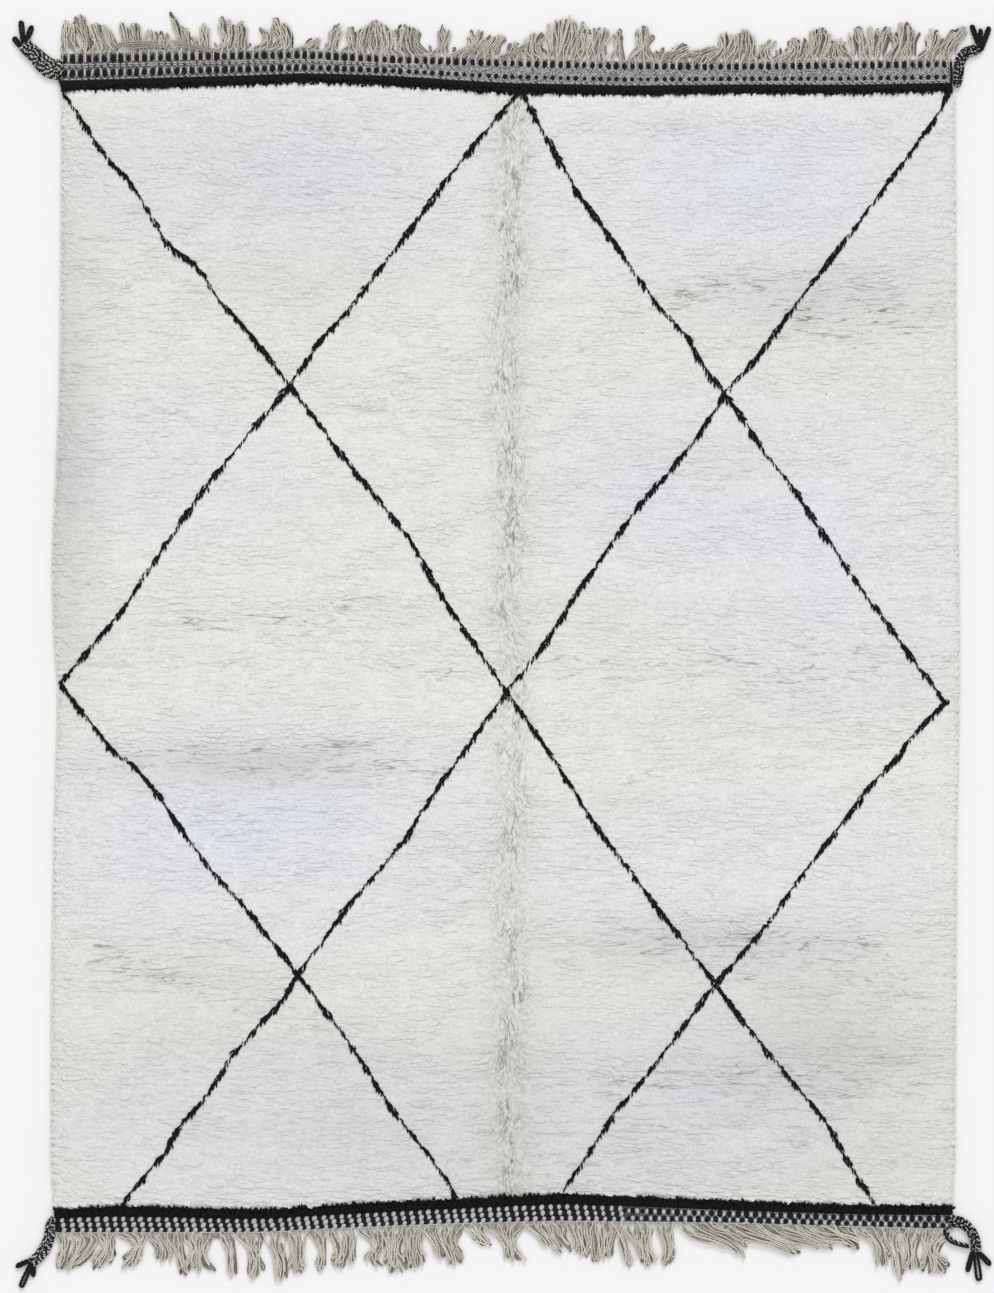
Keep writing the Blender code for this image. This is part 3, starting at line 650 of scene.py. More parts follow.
pile = {
    "cells": (116, 148),  # of the ground weave's mesh, across and along
    "depth": 0.5,  # from the tips down to where the locks close up
    "pitch": 13.4, "rowPitch": 8.8,  # from one lock to the next, across and along
    "length": 15, "width": 22, "thick": 1.6,
    "lean": 84.5, "leanOpen": 12, "leanParted": 10,  # locks stand up where the rows part
    "shadeUp": 0.9,  # how far they shade as one cloth
    "partingX": 18, "partingWidth": 46, "partingTurn": 48, "swirl": 26,
    "pieces": 3,
    "scatter": {"lean": 2, "turn": 14, "size": 0.25},
}

# Where the fleece looks cooler: x, y, width, length, strength
coolPatches = (
    (-500, 1200, 620, 260, 0.5), (650, 1180, 760, 340, 0.7), (430, 400, 420, 300, 0.5),
    (850, 200, 450, 420, 0.5), (-800, 450, 400, 260, 0.35), (-600, -450, 700, 300, 0.8),
    (-560, -1200, 600, 260, 0.5), (420, -1150, 500, 260, 0.45), (620, -560, 550, 280, 0.45),
)

# Where the pile is painted darker: x, y, width, length, strength.
# Several lie along the creases, where the darkening is painted shade.
greyAndShadePatches = (
    (800, 880, 520, 140, 0.55), (-500, 950, 500, 90, 0.3), (-700, 1200, 700, 260, 0.3),
    (-650, -290, 460, 90, 0.55), (500, -760, 620, 150, 0.35), (-760, -860, 460, 220, 0.3),
    (820, -980, 460, 240, 0.7), (0, -1200, 1500, 420, 0.6), (950, -1250, 300, 160, 0.2),
    (-650, -290, 420, 50, 0.3), (500, -730, 620, 70, 0.3),
    (-1090, 480, 110, 760, 0.9), (30, 900, 90, 500, 0.2), (30, -950, 110, 450, 0.05),
)

# Soft creases, where rows of pile open: left, right, y at the left, y at the right, strength
creases = (
    (330, 1125, 905, 870, 1.0), (560, 1125, 850, 800, 0.8), (-900, -180, 85, 105, 0.9),
    (-560, 1125, -55, -15, 0.6), (-1050, -20, -235, -285, 1.2), (60, 1125, -715, -735, 0.9),
    (-1110, -420, -760, -905, 0.7), (0, 1125, -1075, -1050, 0.5), (480, 1125, -800, -840, 0.6),
    (-1110, -600, -715, -740, 0.7),
)

# Corners of the lattice's lines, from the end with the dotted rows to the other
lattice = {
    "spacing": 4.4, "width": 6.0, "clear": 4.6, "length": 15, "thick": 4.8, "lean": 84,
    "wander": 5, "thinnest": 0.2, "widest": 1.45, "single": 0.55,  # one knot wide below single
    "scatter": {"lean": 5, "turn": 26, "size": 0.25},
    "lines": (
        ((-1106, 1400), (-1056, 1329), (-1011, 1254), (-979, 1214), (-944, 1181), (-899, 1116),
         (-864, 1059), (-849, 1024), (-819, 994), (-771, 961), (-749, 934), (-711, 874),
         (-626, 781), (-531, 656), (-394, 474), (-231, 274), (-131, 99), (11, -109),
         (144, -301), (250, -468), (294, -526), (369, -622), (531, -839), (656, -1001),
         (794, -1165), (825, -1214), (856, -1270), (888, -1326), (930, -1384)),
        ((44, 1396), (-119, 1199), (-256, 1011), (-394, 836), (-444, 782), (-481, 734),
         (-531, 656), (-719, 436), (-844, 261), (-956, 86), (-1108, -89)),
        ((44, 1396), (181, 1149), (274, 1022), (374, 877), (388, 853), (421, 820), (466, 775),
         (491, 724), (513, 688), (555, 640), (669, 474), (744, 374), (869, 186), (1106, -134)),
        ((1119, 1398), (1094, 1343), (1068, 1304), (1012, 1230), (869, 1036), (744, 874),
         (644, 737), (610, 700), (555, 640), (531, 595), (485, 528), (419, 443), (356, 374),
         (306, 309), (194, 149), (106, 11), (11, -109), (-156, -339), (-244, -476),
         (-381, -639), (-512, -814), (-542, -868), (-575, -910), (-623, -957), (-689, -1034),
         (-704, -1065), (-726, -1095), (-751, -1132), (-794, -1176), (-820, -1212),
         (-838, -1256), (-881, -1301), (-957, -1400)),
        ((-1108, -89), (-1000, -222), (-969, -262), (-922, -292), (-881, -339), (-731, -551),
         (-619, -676), (-512, -814), (-406, -951), (-281, -1146), (-219, -1226),
         (-181, -1270), (-137, -1333), (-113, -1382)),
        ((1106, -134), (1050, -193), (1012, -233), (994, -264), (920, -343), (881, -395),
         (856, -426), (744, -576), (631, -726), (531, -839), (412, -1001), (281, -1160),
         (231, -1237), (198, -1284), (150, -1362)),
    ),
}

cordMiddle = {}
for side in ("left", "right"):
    low, high = (footEdge(f"side_cord_{side}", 1, pick) for pick in ("low", "high"))
    cordMiddle[side] = lambda y, low=low, high=high: (low(y) + high(y)) / 2
cordRadius = (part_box("side_cord_left")[1].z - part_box("side_cord_left")[0].z) / 2
pileSetback = 0.5 * cordRadius  # the pile leans against the cords
outward = {"top": 1, "bottom": -1}
pileEdge = {
    "top": footEdge("black_band_top", 0, "low"), "bottom": footEdge("black_band_bottom", 0, "high"),
}
bandEdge = {
    "top": footEdge("heading_top", 0, "low"), "bottom": footEdge("heading_bottom", 0, "high"),
}
headingEdge = {
    "top": footEdge("heading_top", 0, "high"), "bottom": footEdge("heading_bottom", 0, "low"),
}


def fieldPlace(across, along):
    # Place on the field for shares of its width and length; a few rounds settle the two edges
    x = np.zeros_like(across)
    for _ in range(4):
        y = pileEdge["bottom"](x) + (pileEdge["top"](x) - pileEdge["bottom"](x)) * along
        left, right = cordMiddle["left"](y) + pileSetback, cordMiddle["right"](y) - pileSetback
        x = left + (right - left) * across
    return x, y


def solidHeight(node, x, y, fallback):
    # Height of a CAD node's top over each place
    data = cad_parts[node].data
    solid = BVHTree.FromPolygons(
        [v.co for v in data.vertices], [list(p.vertices) for p in data.polygons]
    )
    heights = np.full(x.shape, fallback)
    for at in np.ndindex(x.shape):
        hit = solid.ray_cast((x[at], y[at], 1.0), (0, 0, -1))[0]
        if hit is not None:
            heights[at] = hit.z
    return heights


def soften(heights):
    padded = np.pad(heights, 1, mode="edge")
    rows = padded[:-2] + 2 * padded[1:-1] + padded[2:]
    return (rows[:, :-2] + 2 * rows[:, 1:-1] + rows[:, 2:]) / 16


def creaseField(x, y):
    # How much the rows of pile open here, from 0 to 1
    weight = 0.16 + 0.3 * blotches(x, y, 0.4, 0.16, 6) ** 2
    for left, right, yLeft, yRight, strength in creases:
        share = (x / mm - left) / (right - left)
        middle = yLeft + share * (yRight - yLeft) + 40 * (blotches(x, y, 0.19, 9, 5) - 0.5)
        fade = np.clip(np.minimum(share, 1 - share) * 5, 0, 1)
        weight = weight + 0.9 * strength * fade * np.exp(-((y / mm - middle) / 38) ** 2)
    return np.clip(weight, 0, 1)


def addPatches(field, x, y, patches):
    for middleX, middleY, wide, high, strength in patches:
        away = np.hypot((x / mm - middleX) / wide, (y / mm - middleY) / high)
        field = field + strength * np.exp(-2 * away**2)
    return field


def shadeField(x, y):
    # How much darker the pile is painted here, from 0 to 1: painted shade along the creases,
    # and darker towards the lower end and in the listed patches
    shade = 0.2 * creaseField(x, y) + 0.3 * np.clip(blotches(x, y, 0.5, 0.1, 8) - 0.45, 0, 1)
    return np.clip(addPatches(shade, x, y, greyAndShadePatches), 0, 1)


def coolField(x, y):
    # How cool the fleece looks here, from 0 to 1
    cool = addPatches(0 * x, x, y, coolPatches)
    return np.clip(cool * (0.7 + 0.6 * blotches(x, y, 0.16, 0.1, 7)), 0, 1)


def latticeDistance(x, y):
    # Distance in metres to the nearest line of the lattice
    nearest = np.full(np.shape(x), 9.0)
    for line in lattice["lines"]:
        points = np.array(line) * mm
        for a, b in zip(points, points[1:]):
            ahead = b - a
            share = ((x - a[0]) * ahead[0] + (y - a[1]) * ahead[1]) / (ahead @ ahead)
            share = np.clip(share, 0, 1)
            off = np.hypot(x - a[0] - share * ahead[0], y - a[1] - share * ahead[1])
            nearest = np.minimum(nearest, off)
    return nearest


def combAngle(x, y, chance):
    # Way in which the pile lies: towards -Y, but to either side along the parting
    away = x - pile["partingX"] * mm - 0.03 * (blotches(x * 0, y, 1, 0.12, 31) - 0.5)
    parted = np.exp(-(away / (pile["partingWidth"] * mm)) ** 2)
    swirl = pile["swirl"] * (blotches(x, y, 0.3, 0.22, 32) - 0.5)
    way = np.sign(chance.random(len(x)) - 0.5)
    return np.radians(-90 + swirl * (1 - parted) + way * pile["partingTurn"] * parted), parted


across, along = np.meshgrid(
    np.linspace(0, 1, pile["cells"][0] + 1), np.linspace(0, 1, pile["cells"][1] + 1)
)
gridX, gridY = fieldPlace(across, along)
gridTop = soften(soften(solidHeight("pile_field", gridX, gridY, 12 * mm)))


def pileTop(across, along):
    # Height of the solid's top between the grid's points
    columns, rows = pile["cells"]
    i = np.clip((across * columns).astype(int), 0, columns - 1)
    j = np.clip((along * rows).astype(int), 0, rows - 1)
    fi, fj = across * columns - i, along * rows - j
    low = gridTop[j, i] * (1 - fi) + gridTop[j, i + 1] * fi
    high = gridTop[j + 1, i] * (1 - fi) + gridTop[j + 1, i + 1] * fi
    return low * (1 - fj) + high * fj


def makeGround():
    # The knotted cloth below the tips: one closed slab with its back on the floor
    rough = 0.8 * mm * (blotches(gridX, gridY, 0.05, 0.02, 41) - 0.5)
    z = gridTop - pile["depth"] * mm + rough
    places = np.stack([gridX, gridY, z], -1).reshape(-1, 3)
    rows, columns = gridX.shape
    number = np.arange(rows * columns).reshape(rows, columns)
    faces = np.stack([
        number[:-1, :-1], number[:-1, 1:], number[1:, 1:], number[1:, :-1]
    ], -1).reshape(-1, 4).tolist()
    around = np.concatenate([
        number[0, :-1], number[:-1, -1], number[-1, :0:-1], number[:0:-1, 0]
    ])
    foot = places[around] * (1, 1, 0) + (0, 0, 0.3 * mm)
    below = len(places) + np.arange(len(around))
    for k in range(len(around)):
        after = (k + 1) % len(around)
        faces.append((around[after], around[k], below[k], below[after]))
    faces.append(below[::-1].tolist())
    mesh = bpy.data.meshes.new("pileGround")
    places = np.vstack([places, foot])
    mesh.from_pydata(places.tolist(), [], faces)
    x, y = places[:, 0], places[:, 1]
    parted = combAngle(x, y, np.random.default_rng(1))[1]
    for label, values in (
        ("tip", 0.5 + 0 * x), ("tone", 0.5 + 0 * x), ("cool", coolField(x, y)),
        ("shade", shadeField(x, y)), ("open", np.maximum(creaseField(x, y), parted)),
        ("parted", parted),
    ):
        setAttribute(mesh, label, values)
    return addPiece("pileGround", mesh, ivoryWool)


def plantPile():
    # Ivory locks in staggered rows, a few pieces because there are so many
    chance = np.random.default_rng(101)
    columns = round(np.ptp(gridX) / (pile["pitch"] * mm))
    rows = round(np.ptp(gridY) / (pile["rowPitch"] * mm))
    i, j = np.meshgrid(np.arange(columns), np.arange(rows))
    across = (i + 0.25 + 0.5 * (j % 2) + chance.uniform(-0.3, 0.3, i.shape)) / columns
    waver = 1.3 * (blotches(across, j, 0.045, 1, 54) - 0.5)  # rows of knots bunch up and part
    along = (j + 0.5 + waver + chance.uniform(-0.13, 0.13, i.shape)) / rows
    across, along = across.ravel().clip(0.003, 0.997), along.ravel().clip(0.001, 0.999)
    x, y = fieldPlace(across, along)
    angle, parted = combAngle(x, y, chance)
    opened = creaseField(x, y)
    lean = pile["lean"] - pile["leanParted"] * parted - pile["leanOpen"] * opened
    lean = np.radians(lean + 5 * (blotches(x, y, 0.09, 0.02, 53) - 0.5))
    tall = 1 + 0.16 * (blotches(x, y, 0.05, 0.02, 52) - 0.5) - 0.1 * opened - 0.22 * parted
    reach = pile["length"] * mm * tall * np.sin(lean) * 0.5
    middle = (x + reach * np.cos(angle), y + reach * np.sin(angle))
    gap = lattice["clear"] * mm * (0.7 + 0.6 * blotches(x, y, 0.022, 0.018, 51))
    tips = y + 2 * reach * np.sin(angle)
    front = (x + 2 * reach * np.cos(angle), y + 2 * reach * np.sin(angle))
    keep = (latticeDistance(*middle) > gap) & (latticeDistance(*front) > gap * 0.8)
    keep &= (tips < pileEdge["top"](x) - 1 * mm) & (tips > pileEdge["bottom"](x) + 1 * mm)
    z = pileTop(across, along) - pile["length"] * tall * np.cos(lean) * mm
    count = len(x)
    size = np.stack([
        np.full(count, pile["thick"] * mm), np.full(count, pile["width"] * mm),
        pile["length"] * mm * tall,
    ], 1)
    anchors = {
        "place": np.stack([x, y, z], 1), "aim": np.stack([0 * x, lean, angle], 1), "size": size,
        "tone": np.clip(chance.normal(0.5, 0.16, count), 0, 1), "parted": parted,
        "open": np.maximum(opened, parted), "cool": coolField(x, y), "shade": shadeField(x, y),
    }
    shape = combedShape("pileLock")
    pieces = []
    for k in range(pile["pieces"]):
        share = {key: values[keep][k::pile["pieces"]] for key, values in anchors.items()}
        piece = plant(
            f"pileLocks{k + 1}", share, shape, ivoryWool, pile["scatter"], 200 + 10 * k, True
        )
        shadeWithGround(piece, pile["shadeUp"])
        pieces.append(piece)
    return pieces


def plantLattice():
    # Black knots along the lines, stepped from row to row and uneven in width
    chance = np.random.default_rng(102)
    spots = []
    for line in lattice["lines"]:
        points = np.array(line) * mm
        far = np.concatenate([[0], np.cumsum(np.linalg.norm(np.diff(points, axis=0), axis=1))])
        at = np.arange(0, far[-1], lattice["spacing"] * mm)
        x, y = np.interp(at, far, points[:, 0]), np.interp(at, far, points[:, 1])
        heading = np.arctan2(np.gradient(y), np.gradient(x))
        wander = lattice["wander"] * mm * (blotches(at, at * 0 + far[-1], 0.05, 1, 61) - 0.5)
        swell = 3.0 * blotches(at, at * 0 + far[-1], 0.021, 1, 62) - 0.7
        swell = np.clip(swell, lattice["thinnest"], lattice["widest"])
        for share in (-0.5, 0, 0.5):
            sideways = share * lattice["width"] * mm * swell + wander
            row = np.stack([
                x + sideways + chance.normal(0, 0.9 * mm, len(at)),
                y + chance.normal(0, 1.4 * mm, len(at)), heading, 0.84 + 0.28 * swell,
            ], 1)
            spots.append(row if share == 0 else row[swell > lattice["single"]])
    spots = np.vstack(spots)
    x, y, heading, grow = spots.T
    inside = (y < pileEdge["top"](x)) & (y > pileEdge["bottom"](x))
    inside &= (x > cordMiddle["left"](y) + pileSetback) & (x < cordMiddle["right"](y) - pileSetback)
    x, y, heading, grow = x[inside], y[inside], heading[inside], grow[inside]
    # the knots lie the way of the pile, turned part of the way to the line
    angle = np.radians(-90) * 0.45 + heading * 0.55
    lean = math.radians(lattice["lean"])
    back = lattice["length"] * mm * math.sin(lean) * 0.75  # their roots sink out of sight
    top = solidHeight("pile_field", x, y, 13 * mm)
    count = len(x)
    z = top + (1.0 - 0.4 * lattice["length"] * math.cos(lean)) * mm
    thick = lattice["thick"] * mm * grow
    anchors = {
        "place": np.stack([x - back * np.cos(angle), y - back * np.sin(angle), z], 1),
        "aim": np.stack([0 * x, np.full(count, lean), angle], 1),
        "size": np.stack([0.7 * thick, thick, lattice["length"] * mm * (0.6 + 0.4 * grow)], 1),
        "tone": chance.random(count),
    }
    shape = tuftShape("latticeLock", 3, 0.5, 0.2)
    return plant("latticeKnots", anchors, shape, blackWool, lattice["scatter"], 300)


ground = makeGround()
finishPiece(ground, "ivory_pile", "pile_field")
pileLocks = plantPile()
for piece in pileLocks:
    finishPiece(piece, "ivory_pile")
latticeKnots = plantLattice()
finishPiece(latticeKnots, "black_pile")
print("field done")


# ---- black bands

bands = {
    "rows": 4, "spacing": 6.2, "length": 16, "thick": 9, "height": 13.8, "depth": 6.5, "lean": 48,
    "scatter": {"lean": 16, "turn": 30, "size": 0.2},
}


def strip(name, xs, lowEdge, highEdge, profile, material):
    # A closed strip between two edges; profile holds share of the width and height
    mesh = bmesh.new()
    rings = []
    for x in xs:
        low, high = float(lowEdge(x)), float(highEdge(x))
        rings.append([mesh.verts.new((x, low + s * (high - low), z * mm)) for s, z in profile])
    count = len(profile)
    for ring, after in zip(rings, rings[1:]):
        for k in range(count):
            mesh.faces.new((ring[k], ring[(k + 1) % count], after[(k + 1) % count], after[k]))
    mesh.faces.new(rings[0])
    mesh.faces.new(rings[-1])
    data = meshData(name, mesh)
    places = vertexPlaces(data)
    low, high = lowEdge(places[:, 0]), highEdge(places[:, 0])
    setAttribute(data, "across", (places[:, 1] - low) / (high - low))
    setAttribute(data, "tip", np.full(len(data.vertices), 0.2))
    return addPiece(name, data, material)


def makeBlackBand(end):
    chance = np.random.default_rng(110 + outward[end])
    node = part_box(f"black_band_{end}")
    inner, outer = pileEdge[end], bandEdge[end]
    xs = np.linspace(node[0].x, node[1].x, 180)
    profile = ((0, 0.3), (0, 5), (0.3, 8), (0.7, 8), (1, 6), (1, 0.3))
    ground = strip(f"blackBand{end.title()}Ground", xs, inner, outer, profile, blackWool)
    finishPiece(ground, "black_pile", f"black_band_{end}")

    count = round((node[1].x - node[0].x) / (bands["spacing"] * mm))
    i, j = np.meshgrid(np.arange(count), np.arange(bands["rows"]))
    x = i + 0.5 * (j % 2) + chance.uniform(-0.3, 0.3, i.shape) + 0.3
    x = node[0].x + x * bands["spacing"] * mm
    share = 0.22 + 0.74 * (j + 0.5 + chance.uniform(-0.3, 0.3, i.shape)) / bands["rows"]
    x, share = x.ravel().clip(node[0].x, node[1].x), share.ravel()
    y = inner(x) + (outer(x) - inner(x)) * share
    z = bands["height"] - bands["depth"] - 1.5 * abs(share - 0.4)
    z = (z + chance.normal(0, 0.6, len(x))) * mm
    angle = np.radians(-90 * outward[end] + 60 * (blotches(x, y, 0.08, 1, 71) - 0.5))
    anchors = {
        "place": np.stack([x, y, z], 1),
        "aim": np.stack([0 * x, np.full(len(x), math.radians(bands["lean"])), angle], 1),
        "size": np.full((len(x), 3), (bands["thick"] * mm, bands["thick"] * mm, bands["length"] * mm)),
        "tone": chance.random(len(x)),
    }
    shape = tuftShape(f"bandLock{end.title()}", 3, 0.6, 0.35)
    knots = plant(f"blackBand{end.title()}Knots", anchors, shape, blackWool, bands["scatter"], 320)
    finishPiece(knots, "black_pile")


for end in outward:
    makeBlackBand(end)
print("black bands done")


# ---- headings: flat rows twined in black and grey-white wool

headings = {
    # a row: its share of the width, then a stitch's width and length at the left and right end;
    # grows: where along the heading stitches start to change, and over how much of it
    "top": {
        "pitch": 20, "rows": ((0.27, 15, 24, 11, 12), (0.8, 15, 22, 12, 18)), "grows": (0, 0.5),
        "bars": 0.45, "cordRadius": 2.0,
        "cords": ((0.05, 0.6, 0, 1), (0.51, 0.6, 0, 0.42), (0.59, 0.7, 0, 0.42), (0.12, 0.7, 0.7, 1)),
    },
    "bottom": {
        "pitch": 21.8, "rows": ((0.18, 9, 12, 15, 19), (0.5, 9, 12, 15, 19), (0.82, 9, 12, 15, 19)),
        "grows": (0.55, 0.15), "largeRows": (0.28, 0.74), "whiteTurn": 32,
        "whites": (11.5, 15, 9, 13), "cords": ((0.98, 0.8, 0, 1),), "cordRadius": 2.0,
    },
    "height": 5.2, "step": 4.2,
    "scatter": {"lean": 6, "turn": 14, "size": 0.16},
}


def headingRow(end, share, x):
    inner, outer = bandEdge[end](x), headingEdge[end](x)
    return inner + (outer - inner) * share


def headingStitches(end, left, right, chance):
    # Place, share of the row, width, length and tone of every stitch
    look = headings[end]
    pitch = look["pitch"]
    start, over = look["grows"]
    spots = []
    for r, (share, wide0, long0, wide1, long1) in enumerate(look["rows"]):
        for x in np.arange(left / mm + 9, right / mm - 6, pitch):
            t = (x - left / mm) / (right - left) * mm
            x = x + chance.normal(0, 0.8)
            blend = np.clip((t - start) / over, 0, 1)
            wide, long = wide0 + (wide1 - wide0) * blend, long0 + (long1 - long0) * blend
            if end == "top":
                spots.append((x, share, wide, long, 0.0))
                if r == 0 and t < look["bars"]:
                    spots.append((x + pitch / 2, share + 0.02, 6, 23 * (1 - 0.7 * t), 0.85))
                continue
            if blend > 0.5 and r == 2:
                continue  # only two rows of large stitches here
            row = share if blend <= 0.5 else look["largeRows"][r]
            shift = pitch * (0.15 * r if blend <= 0.5 else 0.5 * r)
            spots.append((x + shift, row, wide, long, 0.0))
            startWide, startLong, stopWide, stopLong = look["whites"]
            whiteWide = startWide + (stopWide - startWide) * blend
            whiteLong = startLong + (stopLong - startLong) * blend
            spots.append((x + shift + pitch / 2, row, whiteWide, whiteLong, 0.88))
    spots = np.array(spots)
    spots[:, 0] *= mm
    return spots[(spots[:, 0] > left + 4 * mm) & (spots[:, 0] < right - 4 * mm)]


def makeHeading(end):
    look = headings[end]
    chance = np.random.default_rng(120 + outward[end])
    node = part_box(f"heading_{end}")
    left, right = node[0].x, node[1].x
    profile = [(0, 0.3)]
    for k in range(headingRidges):
        profile += [(k / headingRidges, 4.2), ((k + 0.5) / headingRidges, 5.4)]
    profile += [(1, 3.8), (1, 0.3)]
    ground = strip(
        f"heading{end.title()}Ground", np.linspace(left, right, 160), bandEdge[end],
        headingEdge[end], profile, twinedGround,
    )
    share = (vertexPlaces(ground.data)[:, 0] - left) / (right - left)
    tones = {
        "top": 0.42 + 0.53 * np.clip(share / 0.45, 0, 1), "bottom": np.clip((share - 0.6) * 6, 0, 0.8),
    }
    setAttribute(ground.data, "tone", tones[end])
    finishPiece(ground, "twined_heading", f"heading_{end}")

    x, share, wide, long, tone = headingStitches(end, left, right, chance).T
    count = len(x)
    turn = 0 * x
    if end == "bottom":
        turn = np.pi - math.radians(look["whiteTurn"]) * (tone > 0.5) * (x < 0.1)
    anchors = {
        "place": np.column_stack([x, headingRow(end, share, x), 0 * x + headings["height"] * mm]),
        "aim": np.column_stack([0 * x, 0 * x, turn]),
        "size": np.column_stack([wide * mm, long * mm, np.where(tone > 0.5, 7.2, 6) * mm]),
        "tone": np.clip(tone - abs(chance.normal(0, 0.05, count)) * (tone > 0.5), 0, 1),
    }
    shape = stitchShape(f"headingStitch{end.title()}", 8, 4)
    stitches = plant(
        f"heading{end.title()}Stitches", anchors, shape, twinedWool, headings["scatter"], 330, True
    )
    setAttribute(stitches.data, "lobe", np.ones(len(stitches.data.vertices)))
    finishPiece(stitches, "twined_heading")

    yarns = []
    for share, tone, start, stop in look["cords"]:
        xs = np.arange(
            left + 1 * mm + start * (right - left), left + stop * (right - left), headings["step"] * mm
        )
        height = 0 * xs + (headings["height"] + 0.6) * mm
        route = np.column_stack([xs, headingRow(end, share, xs), height])
        yarns.append(yarn(route, look["cordRadius"] * mm, headings["step"] * mm, 16 * mm, tone))
    cords = spin(f"heading{end.title()}Cords", yarns, 6, 0.3, fleckedWool)
    finishPiece(cords, "twined_heading")


for end in outward:
    makeHeading(end)
print("headings done")


# ---- fringe: looped warp ends twisted into cords, gathered in locks

